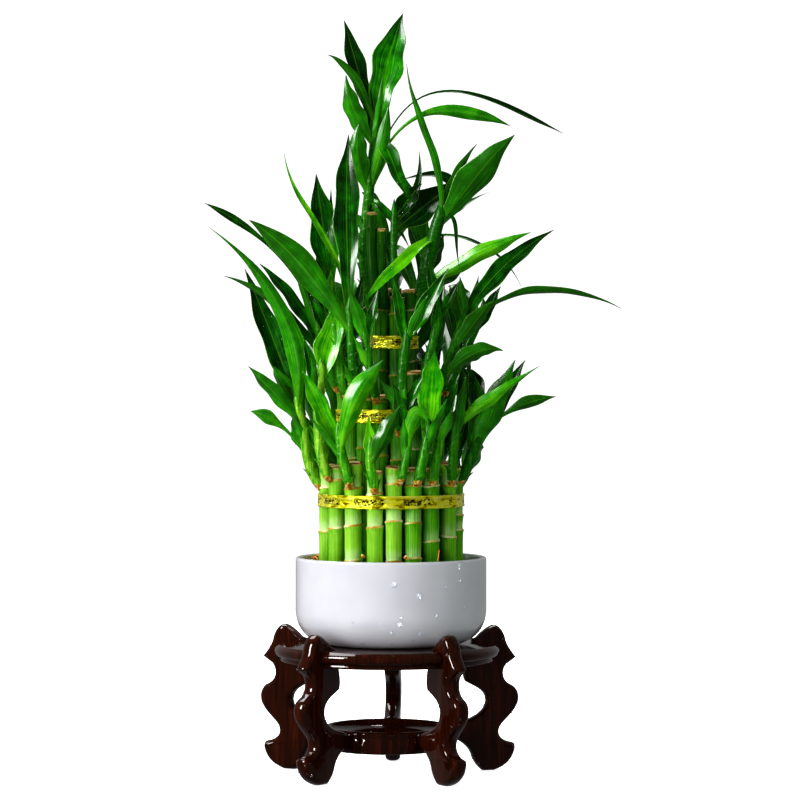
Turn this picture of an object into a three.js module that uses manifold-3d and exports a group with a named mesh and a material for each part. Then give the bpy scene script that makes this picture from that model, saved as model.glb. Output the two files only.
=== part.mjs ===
import * as THREE from 'three';
import { mergeVertices } from 'three/addons/utils/BufferGeometryUtils.js';
import Module from 'manifold-3d';

// A lucky bamboo: three tiers of tied canes with leafy shoots, standing in water in a glazed bowl
// on a five-legged wooden stand. Millimetres, +Z up, the viewer stands on the -Y side.
// Angles round the plant count from the viewer's side towards +X.

const wasm = await Module();
wasm.setup();

// The eye that the front view is taken from. Shoots and leaves in view are listed as they look from it.
const EYE = { x: 7.2, distance: 2400, height: 322.8 };
const GAP = 0.3;
// Creases shallower than this are smoothed away where a leaf joins its stem.
const SLIVER = 0.04;

const STAND = {
  x: -3, legAngles: [-39, 33, -111, 105, 177], legThickness: 12.5,
  boardRadius: 90, boardBottom: 91, boardTop: 104, slotEnd: 69.7,
  ringRadius: 51, ringHole: 29, ringBottom: 21, ringTop: 38.5,
};
const BOWL = { radius: 76.3, rim: 173.6, base: 104.3, footRadius: 50, wall: 4, floor: 112, innerCorner: 14.6, sides: 30 };
const WATER_LEVEL = 162;
const CANE = { foot: BOWL.floor + GAP, radius: 6.2, sides: 7, nodeSwell: 0.6, nodeHalf: 2.2 };

// Each tier: the circle that its canes touch from inside, its middle, and its ribbon.
const TIERS = {
  outer: { x: 0, reach: 57.6, ribbon: [214, 224.3] },
  middle: { x: 0, reach: 43.2, ribbon: [281, 291.6] },
  top: { x: 2.5, reach: 19.3, ribbon: [339.6, 350] },
};
const RIBBON_THICKNESS = 0.7;

// Canes of each tier: angle, radius, height of the cut top, heights of the node rings.
const OUTER_CANES = [
  [-84, 6.2, 246, [194, 229]],
  [-57, 6.2, 247, [198, 236]],
  [-35.5, 6.9, 250.6, [173.5, 201, 230]],
  [-14, 6.4, 243.5, [200, 226]],
  [2.5, 6.3, 247.5, [172.7, 204.4, 233.5, 246]],
  [20, 6.5, 246, [175, 202.8, 232]],
  [38, 6.5, 245, [188.6, 232]],
  [62, 6.3, 250, [191.6, 232]],
  [87, 6.3, 246, [195, 207, 232]],
];
const OUTER_BACK = { count: 9, from: 87, to: 276, top: 243, ring: 229 };
const MIDDLE_CANES = [
  [-57, 6.2, 312, [253, 300]],
  [-34.5, 6, 309, [262, 299]],
  [-12.5, 6.1, 303, [255, 298]],
  [9, 6.2, 303, [252.5, 275]],
  [31, 6.2, 322, [260, 303]],
  [55, 6.2, 312, [257, 302]],
  [80, 6.2, 313, [250, 304]],
];
const MIDDLE_BACK = { count: 7, from: 80, to: 303, top: 305, ring: 303 };
const TOP_CANES = [
  [-50, 6.1, 385, [323, 371]],
  [10, 6.1, 381, [318, 367]],
  [70, 6.1, 387, [330, 371]],
  [130, 6.1, 384, [325, 370]],
  [190, 6.1, 386, [320, 372]],
  [250, 6.1, 385, [328, 369]],
];
const TOP_CENTRE = { radius: 6.1, top: 388, rings: [332, 376] };

// Shoots in view. stem: points [x, z, depth], thick: radius at foot and top. A leaf is
// [height of its root, width, facing, tip, arch or inner points, place of its belly, fall of its width to the tip],
// the last two where they differ from LEAF's; facing runs from 0, flat, to 1, full face.
const SHOOTS = {
  cane_outer_01: {
    stem: [[-57, 229, -6], [-62, 238, -7], [-67, 252, -8], [-69, 268, -9], [-72, 284, -10], [-75, 298, -11]],
    thick: [4.8, 3],
    leaves: [
      [294, 19, 0.9, [-145.5, 437, -30], [[-69, 355, -22], [-98, 402, -26]], 0.3, 0.8],
      [292, 17, 0.7, [-117, 404, 4], 0.03],
      [280, 12, 0.8, [-114.5, 326, -20], 0.06, 0.5],
      [256, 11, 0.85, [-112.6, 290, -16], 0.24, 0.7],
      [262, 6, 0.6, [-79.5, 289, -16], 0.02],
    ],
  },
  cane_outer_02: {
    stem: [[-50, 236, -34], [-54, 248, -35], [-57, 262, -35], [-58, 285, -35], [-57, 305, -34], [-56, 322, -33]],
    thick: [4.6, 3.6],
    leaves: [
      [314, 21, 0.95, [-42, 378, -30], 0.03],
      [292, 5, 0.8, [-64, 333, -38], 0.02],
      [300, 9, 0.6, [-70, 350, -20], 0.05],
    ],
  },
  cane_outer_03: {
    stem: [[-33, 230, -49], [-36, 243, -51], [-40, 258, -51], [-42, 272, -50]],
    thick: [5, 3.6],
    leaves: [
      [255, 13, 0.85, [-71, 322, -46], 0.06],
      [250, 5, 0.7, [-65, 286, -56], 0.03],
      [262, 15, 0.85, [-6, 331, -58], [[-33, 304, -60]]],
    ],
  },
  cane_outer_04: {
    stem: [[-13, 226, -58], [-15, 238, -60], [-17, 250, -60], [-16.5, 260, -60]],
    thick: [4.8, 3.2],
    leaves: [
      [246, 9, 0.9, [-18, 286, -55], 0],
      [250, 12, 0.85, [8, 295, -63], 0.06],
    ],
  },
  cane_outer_05: {
    stem: [[7, 233, -58], [10, 243, -60], [13, 256, -60], [14, 272, -58]],
    thick: [4.2, 2.8],
    leaves: [
      [252, 7, 0.8, [10, 285, -63], 0],
      [262, 14, 0.75, [31, 279, -65], [[18, 304, -63]]],
      [266, 10, 0.6, [2, 312, -54], 0.05],
    ],
  },
  cane_outer_06: {
    stem: [[21, 232, -55], [24, 243, -57], [27, 258, -57], [30, 274, -56]],
    thick: [4.8, 3.4],
    leaves: [
      [266, 18, 1, [35, 338, -50], 0.03],
      [255, 8, 0.6, [45, 300, -61], 0.05],
    ],
  },
  cane_outer_07: {
    stem: [[33, 232, -46], [35, 245, -48], [38, 262, -48], [41, 282, -47]],
    thick: [4.8, 3.2],
    leaves: [
      [268, 7, 0.7, [55, 321, -44], 0.04],
      [262, 8, 0.6, [50, 292, -54], 0.04],
    ],
  },
  cane_outer_08: {
    stem: [[48, 232, -28], [49, 244, -29], [50.5, 262, -29], [53, 282, -28]],
    thick: [4.8, 3.2],
    leaves: [
      [280, 11, 0.9, [119, 326, -40], 0.05, 0.4, 0.8],
      [262, 9, 0.6, [60, 318, -38], 0.04],
    ],
  },
  cane_outer_09: {
    stem: [[54, 232, -4], [59, 241, -4], [65, 254, -4], [70, 268, -4], [76, 282, -4]],
    thick: [5.4, 4.2],
    leaves: [
      [254, 19, 0.88, [99.5, 331, -14], 0.05],
      [268, 15, 0.8, [107.6, 331, 2], 0.04],
      [270, 10, 0.9, [132, 301.5, -8], [[96, 299, -8]], 0.65],
      [276, 6, 0.6, [62, 318, 8], 0.03],
    ],
  },
  cane_middle_14: {
    stem: [[-43, 307, -4], [-49, 322, -6], [-55, 342, -6], [-59, 360, -6], [-62, 380, -6]],
    thick: [4.6, 3],
    leaves: [
      [340, 11, 0.65, [-105.5, 408, -6], 0.16],
      [328, 8, 0.8, [-134, 398, -20], 0.24],
      [342, 8, 0.8, [-78, 411, -10], 0.02],
      [370, 6, 0.8, [-149.5, 456.5, 6], [[-92, 432, 6]], 0.8],
    ],
  },
  cane_middle_01: {
    stem: [[-36, 300, -25], [-40, 318, -27], [-43, 340, -27], [-46, 365, -26], [-48, 392, -24]],
    thick: [4.6, 3.2],
    leaves: [
      [388, 22, 0.95, [-60, 480, -20], 0.03],
      [391, 7, 0.7, [-48, 468, -14], 0],
      [350, 12, 0.6, [-60, 430, -12], 0.04],
      [330, 10, 0.6, [-68, 388, -14], 0.08],
    ],
  },
  cane_middle_02: {
    stem: [[-26, 299, -36], [-29, 315, -39], [-31, 335, -40], [-32, 352, -40], [-33, 372, -39]],
    thick: [4.6, 3.4],
    leaves: [
      [352, 20, 0.9, [-114, 443, -44], 0.18, 0.33, 1.3],
      [358, 20, 0.97, [-34, 511, -30], [[-38, 450, -40]], 0.55],
      [366, 5, 0.6, [-85.5, 496, -24], [[-42, 438, -30], [-79, 450, -24]]],
      [306, 6, 0.7, [-37.5, 327, -47], 0.02],
      [345, 9, 0.5, [-22, 402, -30], 0.05],
    ],
  },
  cane_middle_03: {
    stem: [[-12, 298, -42], [-14, 312, -44], [-18, 332, -45], [-21, 350, -45]],
    thick: [4, 2.8],
    leaves: [
      [320, 6, 0.8, [-30, 350, -50], 0.02],
      [344, 10, 0.9, [-33, 388, -47], 0.02],
      [346, 9, 0.5, [-10, 388, -38], 0.03],
    ],
  },
  cane_middle_04: {
    stem: [[6.5, 272, -43], [8, 279, -49.5], [9, 294, -50.5], [8.5, 312, -50], [10, 330, -49.5], [12.5, 347, -49]],
    thick: [4, 3.6],
    leaves: [
      [345, 13, 0.85, [46, 404, -44], 0.06],
      [343, 9, 0.8, [2, 396, -46], 0.03],
      [346, 8, 0.7, [30, 383, -55], 0.03],
      [290, 9, 0.7, [-9, 315, -53], 0.05],
      [290, 4.5, 0.7, [11.5, 311, -55], 0],
      [288, 9, 0.7, [28, 322, -49], 0.05],
    ],
  },
  cane_middle_05: {
    stem: [[23, 303, -37], [27, 318, -39], [31, 335, -40], [35, 352, -40], [38, 368, -38]],
    thick: [4.4, 3],
    leaves: [
      [362, 7, 0.7, [56, 396, -36], 0.03],
      [350, 10, 0.6, [43, 392, -30], 0.04],
      [366, 9, 0.5, [30, 412, -28], 0.03],
    ],
  },
  cane_middle_06: {
    stem: [[37, 302, -25], [42, 318, -27], [48, 335, -27], [54, 352, -26], [60, 370, -24]],
    thick: [4.8, 3.2],
    leaves: [
      [316, 14, 0.75, [90, 338, -38], [[66, 347, -36]]],
      [340, 14, 0.7, [81, 378, -34], 0.08],
      [358, 14.5, 0.92, [130.5, 435, -20], [[78, 406, -18]], 0.5, 1.8],
      [366, 7, 0.7, [55, 398, -28], 0.03],
    ],
  },
  cane_middle_07: {
    stem: [[43, 304, -8], [50, 318, -9], [58, 335, -9], [66, 352, -8], [74, 370, -6]],
    thick: [4.8, 3.2],
    leaves: [
      [366, 9, 0.4, [184, 372, -12], [[90, 392, -8], [145, 394, -10]]],
      [352, 12, 0.6, [88, 390, 2], 0.06],
      [340, 10, 0.5, [70, 398, 6], 0.05],
    ],
  },
  cane_top_01: {
    stubs: [
      { points: [[-9.5, 372, -14], [-13, 392, -16], [-15.2, 420, -16], [-15.5, 449, -16]], radius: 4.2 },
      { points: [[-5, 370, -14], [-6.5, 392, -17], [-7.5, 415, -18.5], [-7.5, 436, -18.5]], radius: 3.7 },
    ],
  },
  cane_top_02: {
    stem: [[5, 367, -18], [3, 392, -22], [2, 420, -22], [2.5, 448, -20]],
    thick: [3.4, 2.6],
    leaves: [
      [432, 24, 0.85, [54, 474, 2], 0.06],
      [440, 14, 0.7, [25, 472, -8], 0.2],
      [445, 7, 0.8, [22.5, 498, -6], [[26, 456, -8]]],
    ],
  },
  cane_top_03: {
    stem: [[20, 371, -5], [26, 391, -6], [31, 413, -8], [36, 436, -9], [40, 448, -9]],
    thick: [6, 5.2],
    leaves: [
      [436, 24, 0.85, [99, 511, -18], 0.1],
      [446, 6, 0.8, [12.5, 568, -20], [[46, 490, -22], [16, 525, -24]]],
      [447, 7, 0.7, [69, 504, -12], [[48, 480, -12]]],
      [442, 9, 0.6, [8, 475, 0], [[62, 484, 0], [40, 484, -2]]],
      [430, 12, 0.9, [-24, 375, -34], [[12, 426, -30]], 0.5],
      [440, 4, 0.3, [55, 403, -22], [[56, 462, -18], [50, 425, -20]]],
      [430, 5, 0.3, [104, 390, -16], [[62, 434, -14], [92, 418, -14]]],
      [388, 13, 0.85, [112, 433, -30], 0.08, 0.5],
      [438, 5, 0.5, [78, 465, 4], 0.1],
    ],
  },
  cane_top_06: {
    stem: [[-15, 370, 2], [-20, 392, -1], [-21.5, 420, -2], [-19.5, 448, -3], [-17, 470, -6], [-14.5, 495, -8],
      [-12, 520, -8]],
    thick: [5.2, 3.4],
    leaves: [
      [505, 25, 1, [9.5, 608, 0], [[-8, 560, -6]], 0.6],
      [512, 14, 0.95, [-37.5, 602.5, -4], 0.02, 0.6],
      [518, 7, 0.8, [-51, 575, -12], [[-30, 570, -12]]],
      [504, 15, 0.95, [-36, 559, -17], [[-34, 528, -17]], 0.45],
      [490, 5, 0.8, [-6, 562, -18], 0],
      [464, 17, 0.95, [-25, 521, -19], [[-32, 494, -17]], 0.5],
      [466, 12, 0.9, [-2, 535, -17], [[-5, 500, -17]], 0.5],
      [462, 11, 0.7, [95.5, 518, -18], [[-2, 534, -16], [40, 543, -18]], 0.78],
      [474, 7, 0.6, [138, 512, 2], [[12, 575, 2], [60, 552, 2]], 0.85],
      [500, 12, 0.85, [20, 455, -22], [[-2, 520, -21], [4, 468, -21]]],
      [458, 7, 0.7, [11, 420, -24], [[-8, 458, -22]]],
    ],
  },
};

// Shoots out of view grow by rule: how high they rise, how far they lean out, their leaves and the leaves' length.
const WILD = {
  outer: { rise: [42, 66], lean: [9, 20], leaves: 6, length: [58, 92], highest: 335 },
  middle: { rise: [45, 72], lean: [10, 22], leaves: 6, length: [62, 98], highest: 398 },
  top: { rise: [58, 74], lean: [16, 22], leaves: 6, length: [60, 92], highest: 480 },
};
// The plant's outline from the front: height, leftmost and rightmost leaf tip of the shoots behind.
const OUTLINE = [
  [225, -58, 56], [250, -66, 64], [280, -76, 76], [310, -80, 80], [340, -84, 72],
  [370, -80, 70], [400, -70, 56], [430, -50, 46], [460, -38, 40], [500, -30, 30],
];
const WILD_SEED = 7;
// Turns tried about the root's upright until a leaf clears its neighbours, in degrees.
const SWINGS = [0, 5, -5, 10, -10, 15, -15, 20, -20, 26, -26, 33, -33, 40, -40];
const LEAF = { thick: 1.3, fold: 0.2, twist: 0.5, rootShare: 0.28, belly: 0.4, fall: 1.5 };
const CLEARANCE = 0.35;

const rad = THREE.MathUtils.degToRad;
const lerp = THREE.MathUtils.lerp;

// A finish from its colour, roughness and metalness.
const finish = (color, roughness, metalness = 0) => new THREE.MeshStandardMaterial({ color, roughness, metalness });
const FINISH = {
  cane: finish('#6fae3a', 0.5),
  bowl: finish('#eeeef4', 0.12),
  water: finish('#b8c4b8', 0.05),
  ribbon: finish('#d8c21a', 0.3, 0.9),
  wood: finish('#45160c', 0.2),
};

// The point that looks to be at x and z from the eye, moved along its line of sight to its own depth y.
function seen([x, z, y]) {
  const k = 1 + y / EYE.distance;
  return new THREE.Vector3(EYE.x + (x - EYE.x) * k, y, EYE.height + (z - EYE.height) * k);
}

// Random numbers from 0 to 1 that come out the same for the same seed.
function seeded(seed) {
  let state = seed >>> 0;
  return () => {
    state = (state + 0x6d2b79f5) >>> 0;
    let t = Math.imul(state ^ (state >>> 15), state | 1);
    t = (t + Math.imul(t ^ (t >>> 7), t | 61)) ^ t;
    return ((t ^ (t >>> 14)) >>> 0) / 4294967296;
  };
}

// A closed surface as a solid, turned so that its faces point out.
function solidFrom(geometry) {
  const bare = new THREE.BufferGeometry().setAttribute('position', geometry.getAttribute('position'));
  bare.setIndex(geometry.index);
  const merged = mergeVertices(bare, 1e-4);
  const index = merged.index.array;
  const place = merged.getAttribute('position');
  const corner = [new THREE.Vector3(), new THREE.Vector3(), new THREE.Vector3()];
  const triVerts = [];
  let volume = 0;
  for (let i = 0; i < index.length; i += 3) {
    const three = [index[i], index[i + 1], index[i + 2]];
    if (new Set(three).size < 3) continue;
    corner.forEach((c, k) => c.fromBufferAttribute(place, three[k]));
    volume += corner[0].dot(corner[1].clone().cross(corner[2]));
    triVerts.push(...three);
  }
  if (volume < 0) triVerts.reverse();
  return new wasm.Manifold(new wasm.Mesh({
    numProp: 3, vertProperties: new Float32Array(place.array), triVerts: new Uint32Array(triVerts),
  }));
}

function geometryFrom(solid) {
  const { vertProperties, triVerts } = solid.getMesh();
  const geometry = new THREE.BufferGeometry();
  geometry.setAttribute('position', new THREE.BufferAttribute(new Float32Array(vertProperties), 3));
  geometry.setIndex(new THREE.BufferAttribute(new Uint32Array(triVerts), 1));
  geometry.computeVertexNormals();
  return geometry;
}

// One body of several that overlap: hollows that the join seals are filled and scraps are dropped.
function fused(solids) {
  const bodies = wasm.Manifold.union(solids).decompose();
  const whole = bodies.reduce((best, body) => (body.volume() > best.volume() ? body : best));
  return whole.asOriginal().simplify(SLIVER);
}

const pieces = new Map();
function keep(name, solid, material) {
  pieces.set(name, { solid, material });
}

// A body of revolution about an upright at (x, y) from its profile of [radius, height].
function turned(profile, sides, x = 0, y = 0) {
  const geometry = new THREE.LatheGeometry(profile.map(([r, z]) => new THREE.Vector2(r, z)), sides);
  return solidFrom(geometry.rotateX(Math.PI / 2).translate(x, y, 0));
}

// Points of a round corner: centre, radius and the first and last angle in degrees.
function arc(r, z, radius, from, to, steps) {
  return Array.from({ length: steps + 1 }, (_, i) => {
    const a = rad(lerp(from, to, i / steps));
    return [r + radius * Math.cos(a), z + radius * Math.sin(a)];
  });
}

// A skin over rings of points, closed by a cap at its foot and by a cap or a last single point at its end.
function loft(rings) {
  const position = [];
  const starts = rings.map((ring) => {
    const start = position.length / 3;
    ring.forEach((p) => position.push(p.x, p.y, p.z));
    return start;
  });
  const sides = rings[0].length;
  const index = [];
  rings.slice(1).forEach((ring, i) => {
    const [a, b] = [starts[i], starts[i + 1]];
    for (let k = 0; k < sides; k++) {
      const next = (k + 1) % sides;
      if (ring.length === 1) index.push(a + k, a + next, b);
      else index.push(a + k, a + next, b + next, a + k, b + next, b + k);
    }
  });
  for (let k = 1; k < sides - 1; k++) index.push(1, (k + 2) % sides, k + 1);
  const last = starts[rings.length - 1];
  if (rings[rings.length - 1].length > 1) {
    for (let k = 1; k < sides - 1; k++) index.push(last + 1, last + k + 1, last + ((k + 2) % sides));
  }
  const geometry = new THREE.BufferGeometry();
  geometry.setAttribute('position', new THREE.Float32BufferAttribute(position, 3));
  return geometry.setIndex(index);
}

// A level ring of a stem.
function levelRing(centre, radius, sides) {
  return Array.from({ length: sides }, (_, k) => {
    const a = (2 * Math.PI * k) / sides;
    return new THREE.Vector3(centre.x + radius * Math.cos(a), centre.y + radius * Math.sin(a), centre.z);
  });
}

// The taut loop round a ring of discs, each [x, y, radius] in order anticlockwise, at a distance off them:
// for each disc, an arc between the normals of its two shared tangents.
function tautLoop(discs, off, steps) {
  const normals = discs.map(([x, y, r], i) => {
    const [nx, ny, nr] = discs[(i + 1) % discs.length];
    const span = Math.hypot(nx - x, ny - y);
    return Math.atan2(ny - y, nx - x) - Math.acos((r - nr) / span);
  });
  return discs.flatMap(([x, y, r], i) => {
    const from = normals[(i + discs.length - 1) % discs.length];
    const turn = ((normals[i] - from) % (2 * Math.PI) + 2 * Math.PI) % (2 * Math.PI);
    return Array.from({ length: steps + 1 }, (_, k) => {
      const a = from + (turn * k) / steps;
      return new THREE.Vector2(x + (r + off) * Math.cos(a), y + (r + off) * Math.sin(a));
    });
  });
}

// The list of canes of every tier, each with its middle, radius, top, rings and the way it faces.
function standingCanes() {
  const draw = seeded(WILD_SEED);
  const canes = [];
  const add = (tier, number, angle, radius, top, rings, middle) => {
    const { x, reach } = TIERS[tier];
    const out = middle ? 0 : reach - radius;
    canes.push({
      name: `cane_${tier}_${String(number).padStart(2, '0')}`, tier, angle, radius, top, rings,
      x: x + out * Math.sin(rad(angle)), y: -out * Math.cos(rad(angle)),
    });
  };
  const behind = (tier, front, { count, from, to, top, ring }) => {
    for (let i = 1; i <= count; i++) {
      const angle = lerp(from, to, i / (count + 1));
      const shootRing = ring + 5 * draw();
      const rings = tier === 'outer' ? [190 + 16 * draw(), shootRing] : [250 + 14 * draw(), shootRing];
      add(tier, front.length + i, angle, CANE.radius, top + 7 * draw(), rings);
    }
  };
  OUTER_CANES.forEach((cane, i) => add('outer', i + 1, ...cane));
  behind('outer', OUTER_CANES, OUTER_BACK);
  MIDDLE_CANES.forEach((cane, i) => add('middle', i + 1, ...cane));
  behind('middle', MIDDLE_CANES, MIDDLE_BACK);
  TOP_CANES.forEach((cane, i) => add('top', i + 1, ...cane));
  add('top', TOP_CANES.length + 1, 0, TOP_CENTRE.radius, TOP_CENTRE.top, TOP_CENTRE.rings, true);
  return canes;
}

// The stem's centre line, from inside the cane out through its points.
function stemLine(cane, points) {
  const inside = new THREE.Vector3(cane.x, cane.y, points[0].z - 1.5);
  return new THREE.CatmullRomCurve3([inside, ...points], false, 'catmullrom', 0.5);
}

// The stem's point at a height, found by halving.
function stemAt(line, height) {
  let [low, high] = [0, 1];
  for (let i = 0; i < 40; i++) {
    const middle = (low + high) / 2;
    if (line.getPoint(middle).z < height) low = middle;
    else high = middle;
  }
  return line.getPoint(low);
}

// A leaf in view: its root on the stem, its inner points and its tip.
function listedLeaf(line, [rootHeight, width, facing, tip, shape, belly = LEAF.belly, fall = LEAF.fall]) {
  const root = stemAt(line, rootHeight);
  const end = seen(tip);
  const inner = Array.isArray(shape) ? shape.map(seen) : [bowed(root, end, shape)];
  return { root, points: [...inner, end], width, facing, belly, fall };
}

// The inner point of a leaf that bows upwards by a share of its length.
function bowed(root, end, arch) {
  const middle = root.clone().add(end).multiplyScalar(0.5);
  middle.z += arch * root.distanceTo(end);
  return middle;
}

// The nearest x within the plant's outline at that height.
function withinOutline(x, z) {
  const i = Math.min(Math.max(OUTLINE.findIndex(([height]) => height > z), 1), OUTLINE.length - 1);
  const [[z0, left0, right0], [z1, left1, right1]] = [OUTLINE[i - 1], OUTLINE[i]];
  const t = Math.min(Math.max((z - z0) / (z1 - z0), 0), 1);
  return Math.min(Math.max(x, lerp(left0, left1, t)), lerp(right0, right1, t));
}

// A leaf by rule: it leaves the stem to one side or the other and rises more the higher it grows.
function wildLeaf(cane, line, share, side, rule, draw) {
  const root = line.getPoint(lerp(0.42, 0.97, share));
  const way = rad(cane.angle + side * (12 + 88 * draw()));
  const rise = rad(lerp(30, 70, share) + 14 * (draw() - 0.5));
  const length = lerp(rule.length[0], rule.length[1], draw());
  const arch = 0.1 + 0.22 * draw();
  const width = 9 + 7 * draw();
  const end = root.clone();
  end.z = Math.min(root.z + length * Math.sin(rise), rule.highest);
  end.y += -length * Math.cos(rise) * Math.cos(way);
  end.x = withinOutline(root.x + length * Math.cos(rise) * Math.sin(way), end.z);
  const { belly, fall } = LEAF;
  return { root, points: [bowed(root, end, arch), end], width, facing: 0.2 + 0.5 * draw(), belly, fall };
}

// The shoot of a cane that no list describes.
function wildShoot(cane, draw) {
  const rule = WILD[cane.tier];
  const out = new THREE.Vector3(Math.sin(rad(cane.angle)), -Math.cos(rad(cane.angle)), 0);
  const rise = lerp(rule.rise[0], rule.rise[1], draw());
  const lean = lerp(rule.lean[0], rule.lean[1], draw());
  const foot = new THREE.Vector3(cane.x, cane.y, cane.rings[cane.rings.length - 1]);
  const at = (away, up) => foot.clone().addScaledVector(out, away).add(new THREE.Vector3(0, 0, up));
  const points = [at(cane.radius, 0), at(cane.radius + 0.45 * lean, 0.35 * rise), at(cane.radius + lean, rise)];
  const line = stemLine(cane, points);
  const leaves = Array.from({ length: rule.leaves }, (_, i) =>
    wildLeaf(cane, line, i / (rule.leaves - 1), i % 2 ? 1 : -1, rule, draw));
  return { line, thick: [4.6, 2.6], leaves };
}

// What grows on a cane: its stem, leaves and cut stubs.
function growthOf(cane, draw) {
  const listed = SHOOTS[cane.name];
  if (!listed) return cane.tier === 'top' && cane.angle === 0 ? { leaves: [] } : wildShoot(cane, draw);
  if (listed.stubs) {
    const stubs = listed.stubs.map(({ points, radius }) => ({ line: stemLine(cane, points.map(seen)), radius }));
    return { stubs, leaves: [] };
  }
  const line = stemLine(cane, listed.stem.map(seen));
  return { line, thick: listed.thick, leaves: listed.leaves.map((row) => listedLeaf(line, row)) };
}

// A cane: a tube that swells at each node ring.
function caneSolid(cane) {
  const { foot, sides, nodeSwell, nodeHalf } = CANE;
  const profile = [[0, foot], [cane.radius, foot]];
  cane.rings.forEach((z) => {
    profile.push([cane.radius, z - nodeHalf], [cane.radius + nodeSwell, z], [cane.radius, z + nodeHalf]);
  });
  profile.push([cane.radius, cane.top], [0, cane.top]);
  return turned(profile, sides, cane.x, cane.y);
}

const STEM = { sides: 5, steps: [0, 0.2, 0.45, 0.72, 1], tip: 4 };

// A shoot's stem: level rings along its line that thin towards the top and end in a point.
function stemSolid({ line, thick }) {
  const rings = STEM.steps.map((t) => levelRing(line.getPoint(t), lerp(thick[0], thick[1], t), STEM.sides));
  const end = line.getPoint(1);
  rings.push([new THREE.Vector3(end.x, end.y, end.z + STEM.tip)]);
  return solidFrom(loft(rings));
}

// The stub of a shoot that was cut level.
function stubSolid({ line, radius }) {
  return solidFrom(loft([0, 0.3, 0.65, 1].map((t) => levelRing(line.getPoint(t), radius, STEM.sides))));
}

// The leaf's points, turned about the upright through its root.
function swung(leaf, degrees) {
  const axis = new THREE.Vector3(0, 0, 1);
  return leaf.points.map((p) => p.clone().sub(leaf.root).applyAxisAngle(axis, rad(degrees)).add(leaf.root));
}

// The blade's width, as a share of its widest, at t from root to tip.
function bladeShare(t, { belly, fall }) {
  const { rootShare } = LEAF;
  const grow = Math.min(t / belly, 1) ** (belly > 0.6 ? 2.5 : 1);
  const rise = rootShare + (1 - rootShare) * grow * grow * (3 - 2 * grow);
  return rise * (1 - Math.max((t - belly) / (1 - belly), 0) ** fall);
}

// The curve that a leaf's midrib follows.
function midrib(root, points) {
  return points.length === 2
    ? new THREE.QuadraticBezierCurve3(root, ...points)
    : new THREE.CubicBezierCurve3(root, ...points);
}

// A leaf blade: a shallow V of cut sections along its midrib, each [left edge, top, right edge, underside].
// The blade's side points along the level line across its way, turned about the midrib towards the viewer.
function leafSolid(leaf, swing, extra) {
  const points = swung(leaf, swing);
  const curve = midrib(leaf.root, points);
  const length = curve.getLength();
  const end = points[points.length - 1];
  const across = new THREE.Vector3(leaf.root.y - end.y, end.x - leaf.root.x, 0).normalize();
  const atMiddle = across.clone().cross(curve.getTangent(0.5));
  const turn = leaf.facing * Math.atan(-across.y / (Math.abs(atMiddle.y) > 1e-6 ? atMiddle.y : 1e-6));
  const count = length < 60 ? 3 : length < 120 ? 4 : 5;
  const rings = [];
  for (let i = 0; i < count; i++) {
    const t = (i / count) ** 1.1;
    const centre = curve.getPoint(t);
    const along = curve.getTangent(t);
    const roll = turn + LEAF.twist * (t - 0.5) * (leaf.facing < 0.9 ? 1 : 0);
    const side = across.clone().multiplyScalar(Math.cos(roll))
      .addScaledVector(across.clone().cross(along), Math.sin(roll));
    const up = along.clone().cross(side).normalize();
    const half = 0.5 * leaf.width * bladeShare(t, leaf) + extra;
    const thick = 0.5 * LEAF.thick * (1 - 0.35 * t) + extra;
    const dip = -LEAF.fold * half;
    const at = (across2, up2) => centre.clone().addScaledVector(side, across2).addScaledVector(up, up2);
    rings.push([at(half, 0), at(0, dip + thick), at(-half, 0), at(0, dip - thick)]);
  }
  rings.push([end.clone()]);
  return solidFrom(loft(rings));
}

const apart = (a, b) => ['0', '1', '2'].some((k) => a.min[k] > b.max[k] || b.min[k] > a.max[k]);

// True if the solid touches none of the others.
function clears(solid, box, others) {
  return others.every((other) => apart(box, other.box) || solid.intersect(other.solid).isEmpty());
}

const boxed = (solid) => ({ solid, box: solid.boundingBox() });

const canes = standingCanes();
const draw = seeded(WILD_SEED + 1);
const growths = canes.map((cane) => growthOf(cane, draw));

// Stand: five shaped planks in the slots of a round board, with tongues that reach the lower ring.
const tongueEnd = STAND.ringRadius + GAP;
const legShape = new THREE.Shape();
legShape.moveTo(79, 0);
legShape.lineTo(88, 0);
legShape.quadraticCurveTo(103, 4, 106, 17);
legShape.quadraticCurveTo(106.5, 21, 104.5, 22);
legShape.bezierCurveTo(96, 23.5, 92, 27, 92.3, 32);
legShape.bezierCurveTo(93, 39, 104, 43, 108.5, 54);
legShape.bezierCurveTo(110.5, 61, 108, 67, 101.5, 69.5);
legShape.bezierCurveTo(95, 73, 94.5, 81, 99, 85.5);
legShape.quadraticCurveTo(103, 88, 107, 91);
legShape.quadraticCurveTo(101, 98, 98.5, 104);
legShape.bezierCurveTo(97.5, 111, 93, 117, 89, 117.3);
legShape.quadraticCurveTo(84, 117, 73.6, 107.2);
legShape.lineTo(STAND.slotEnd + GAP, 106);
legShape.lineTo(STAND.slotEnd + GAP, STAND.boardBottom - GAP);
legShape.lineTo(65.5, STAND.boardBottom - GAP);
legShape.quadraticCurveTo(61.5, 78, 65, 72);
legShape.bezierCurveTo(74, 67, 82, 65, 82.3, 56);
legShape.bezierCurveTo(81.5, 46, 68, 41.5, 60, 39.5);
legShape.lineTo(tongueEnd, 37);
legShape.lineTo(tongueEnd, 28);
legShape.bezierCurveTo(63, 24, 69, 18, 70.5, 11);
legShape.quadraticCurveTo(73.5, 4, 79, 0);

const legBlank = new THREE.ExtrudeGeometry(legShape, { depth: STAND.legThickness, curveSegments: 2, bevelEnabled: false });
legBlank.translate(0, 0, -STAND.legThickness / 2).rotateX(Math.PI / 2);
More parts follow.
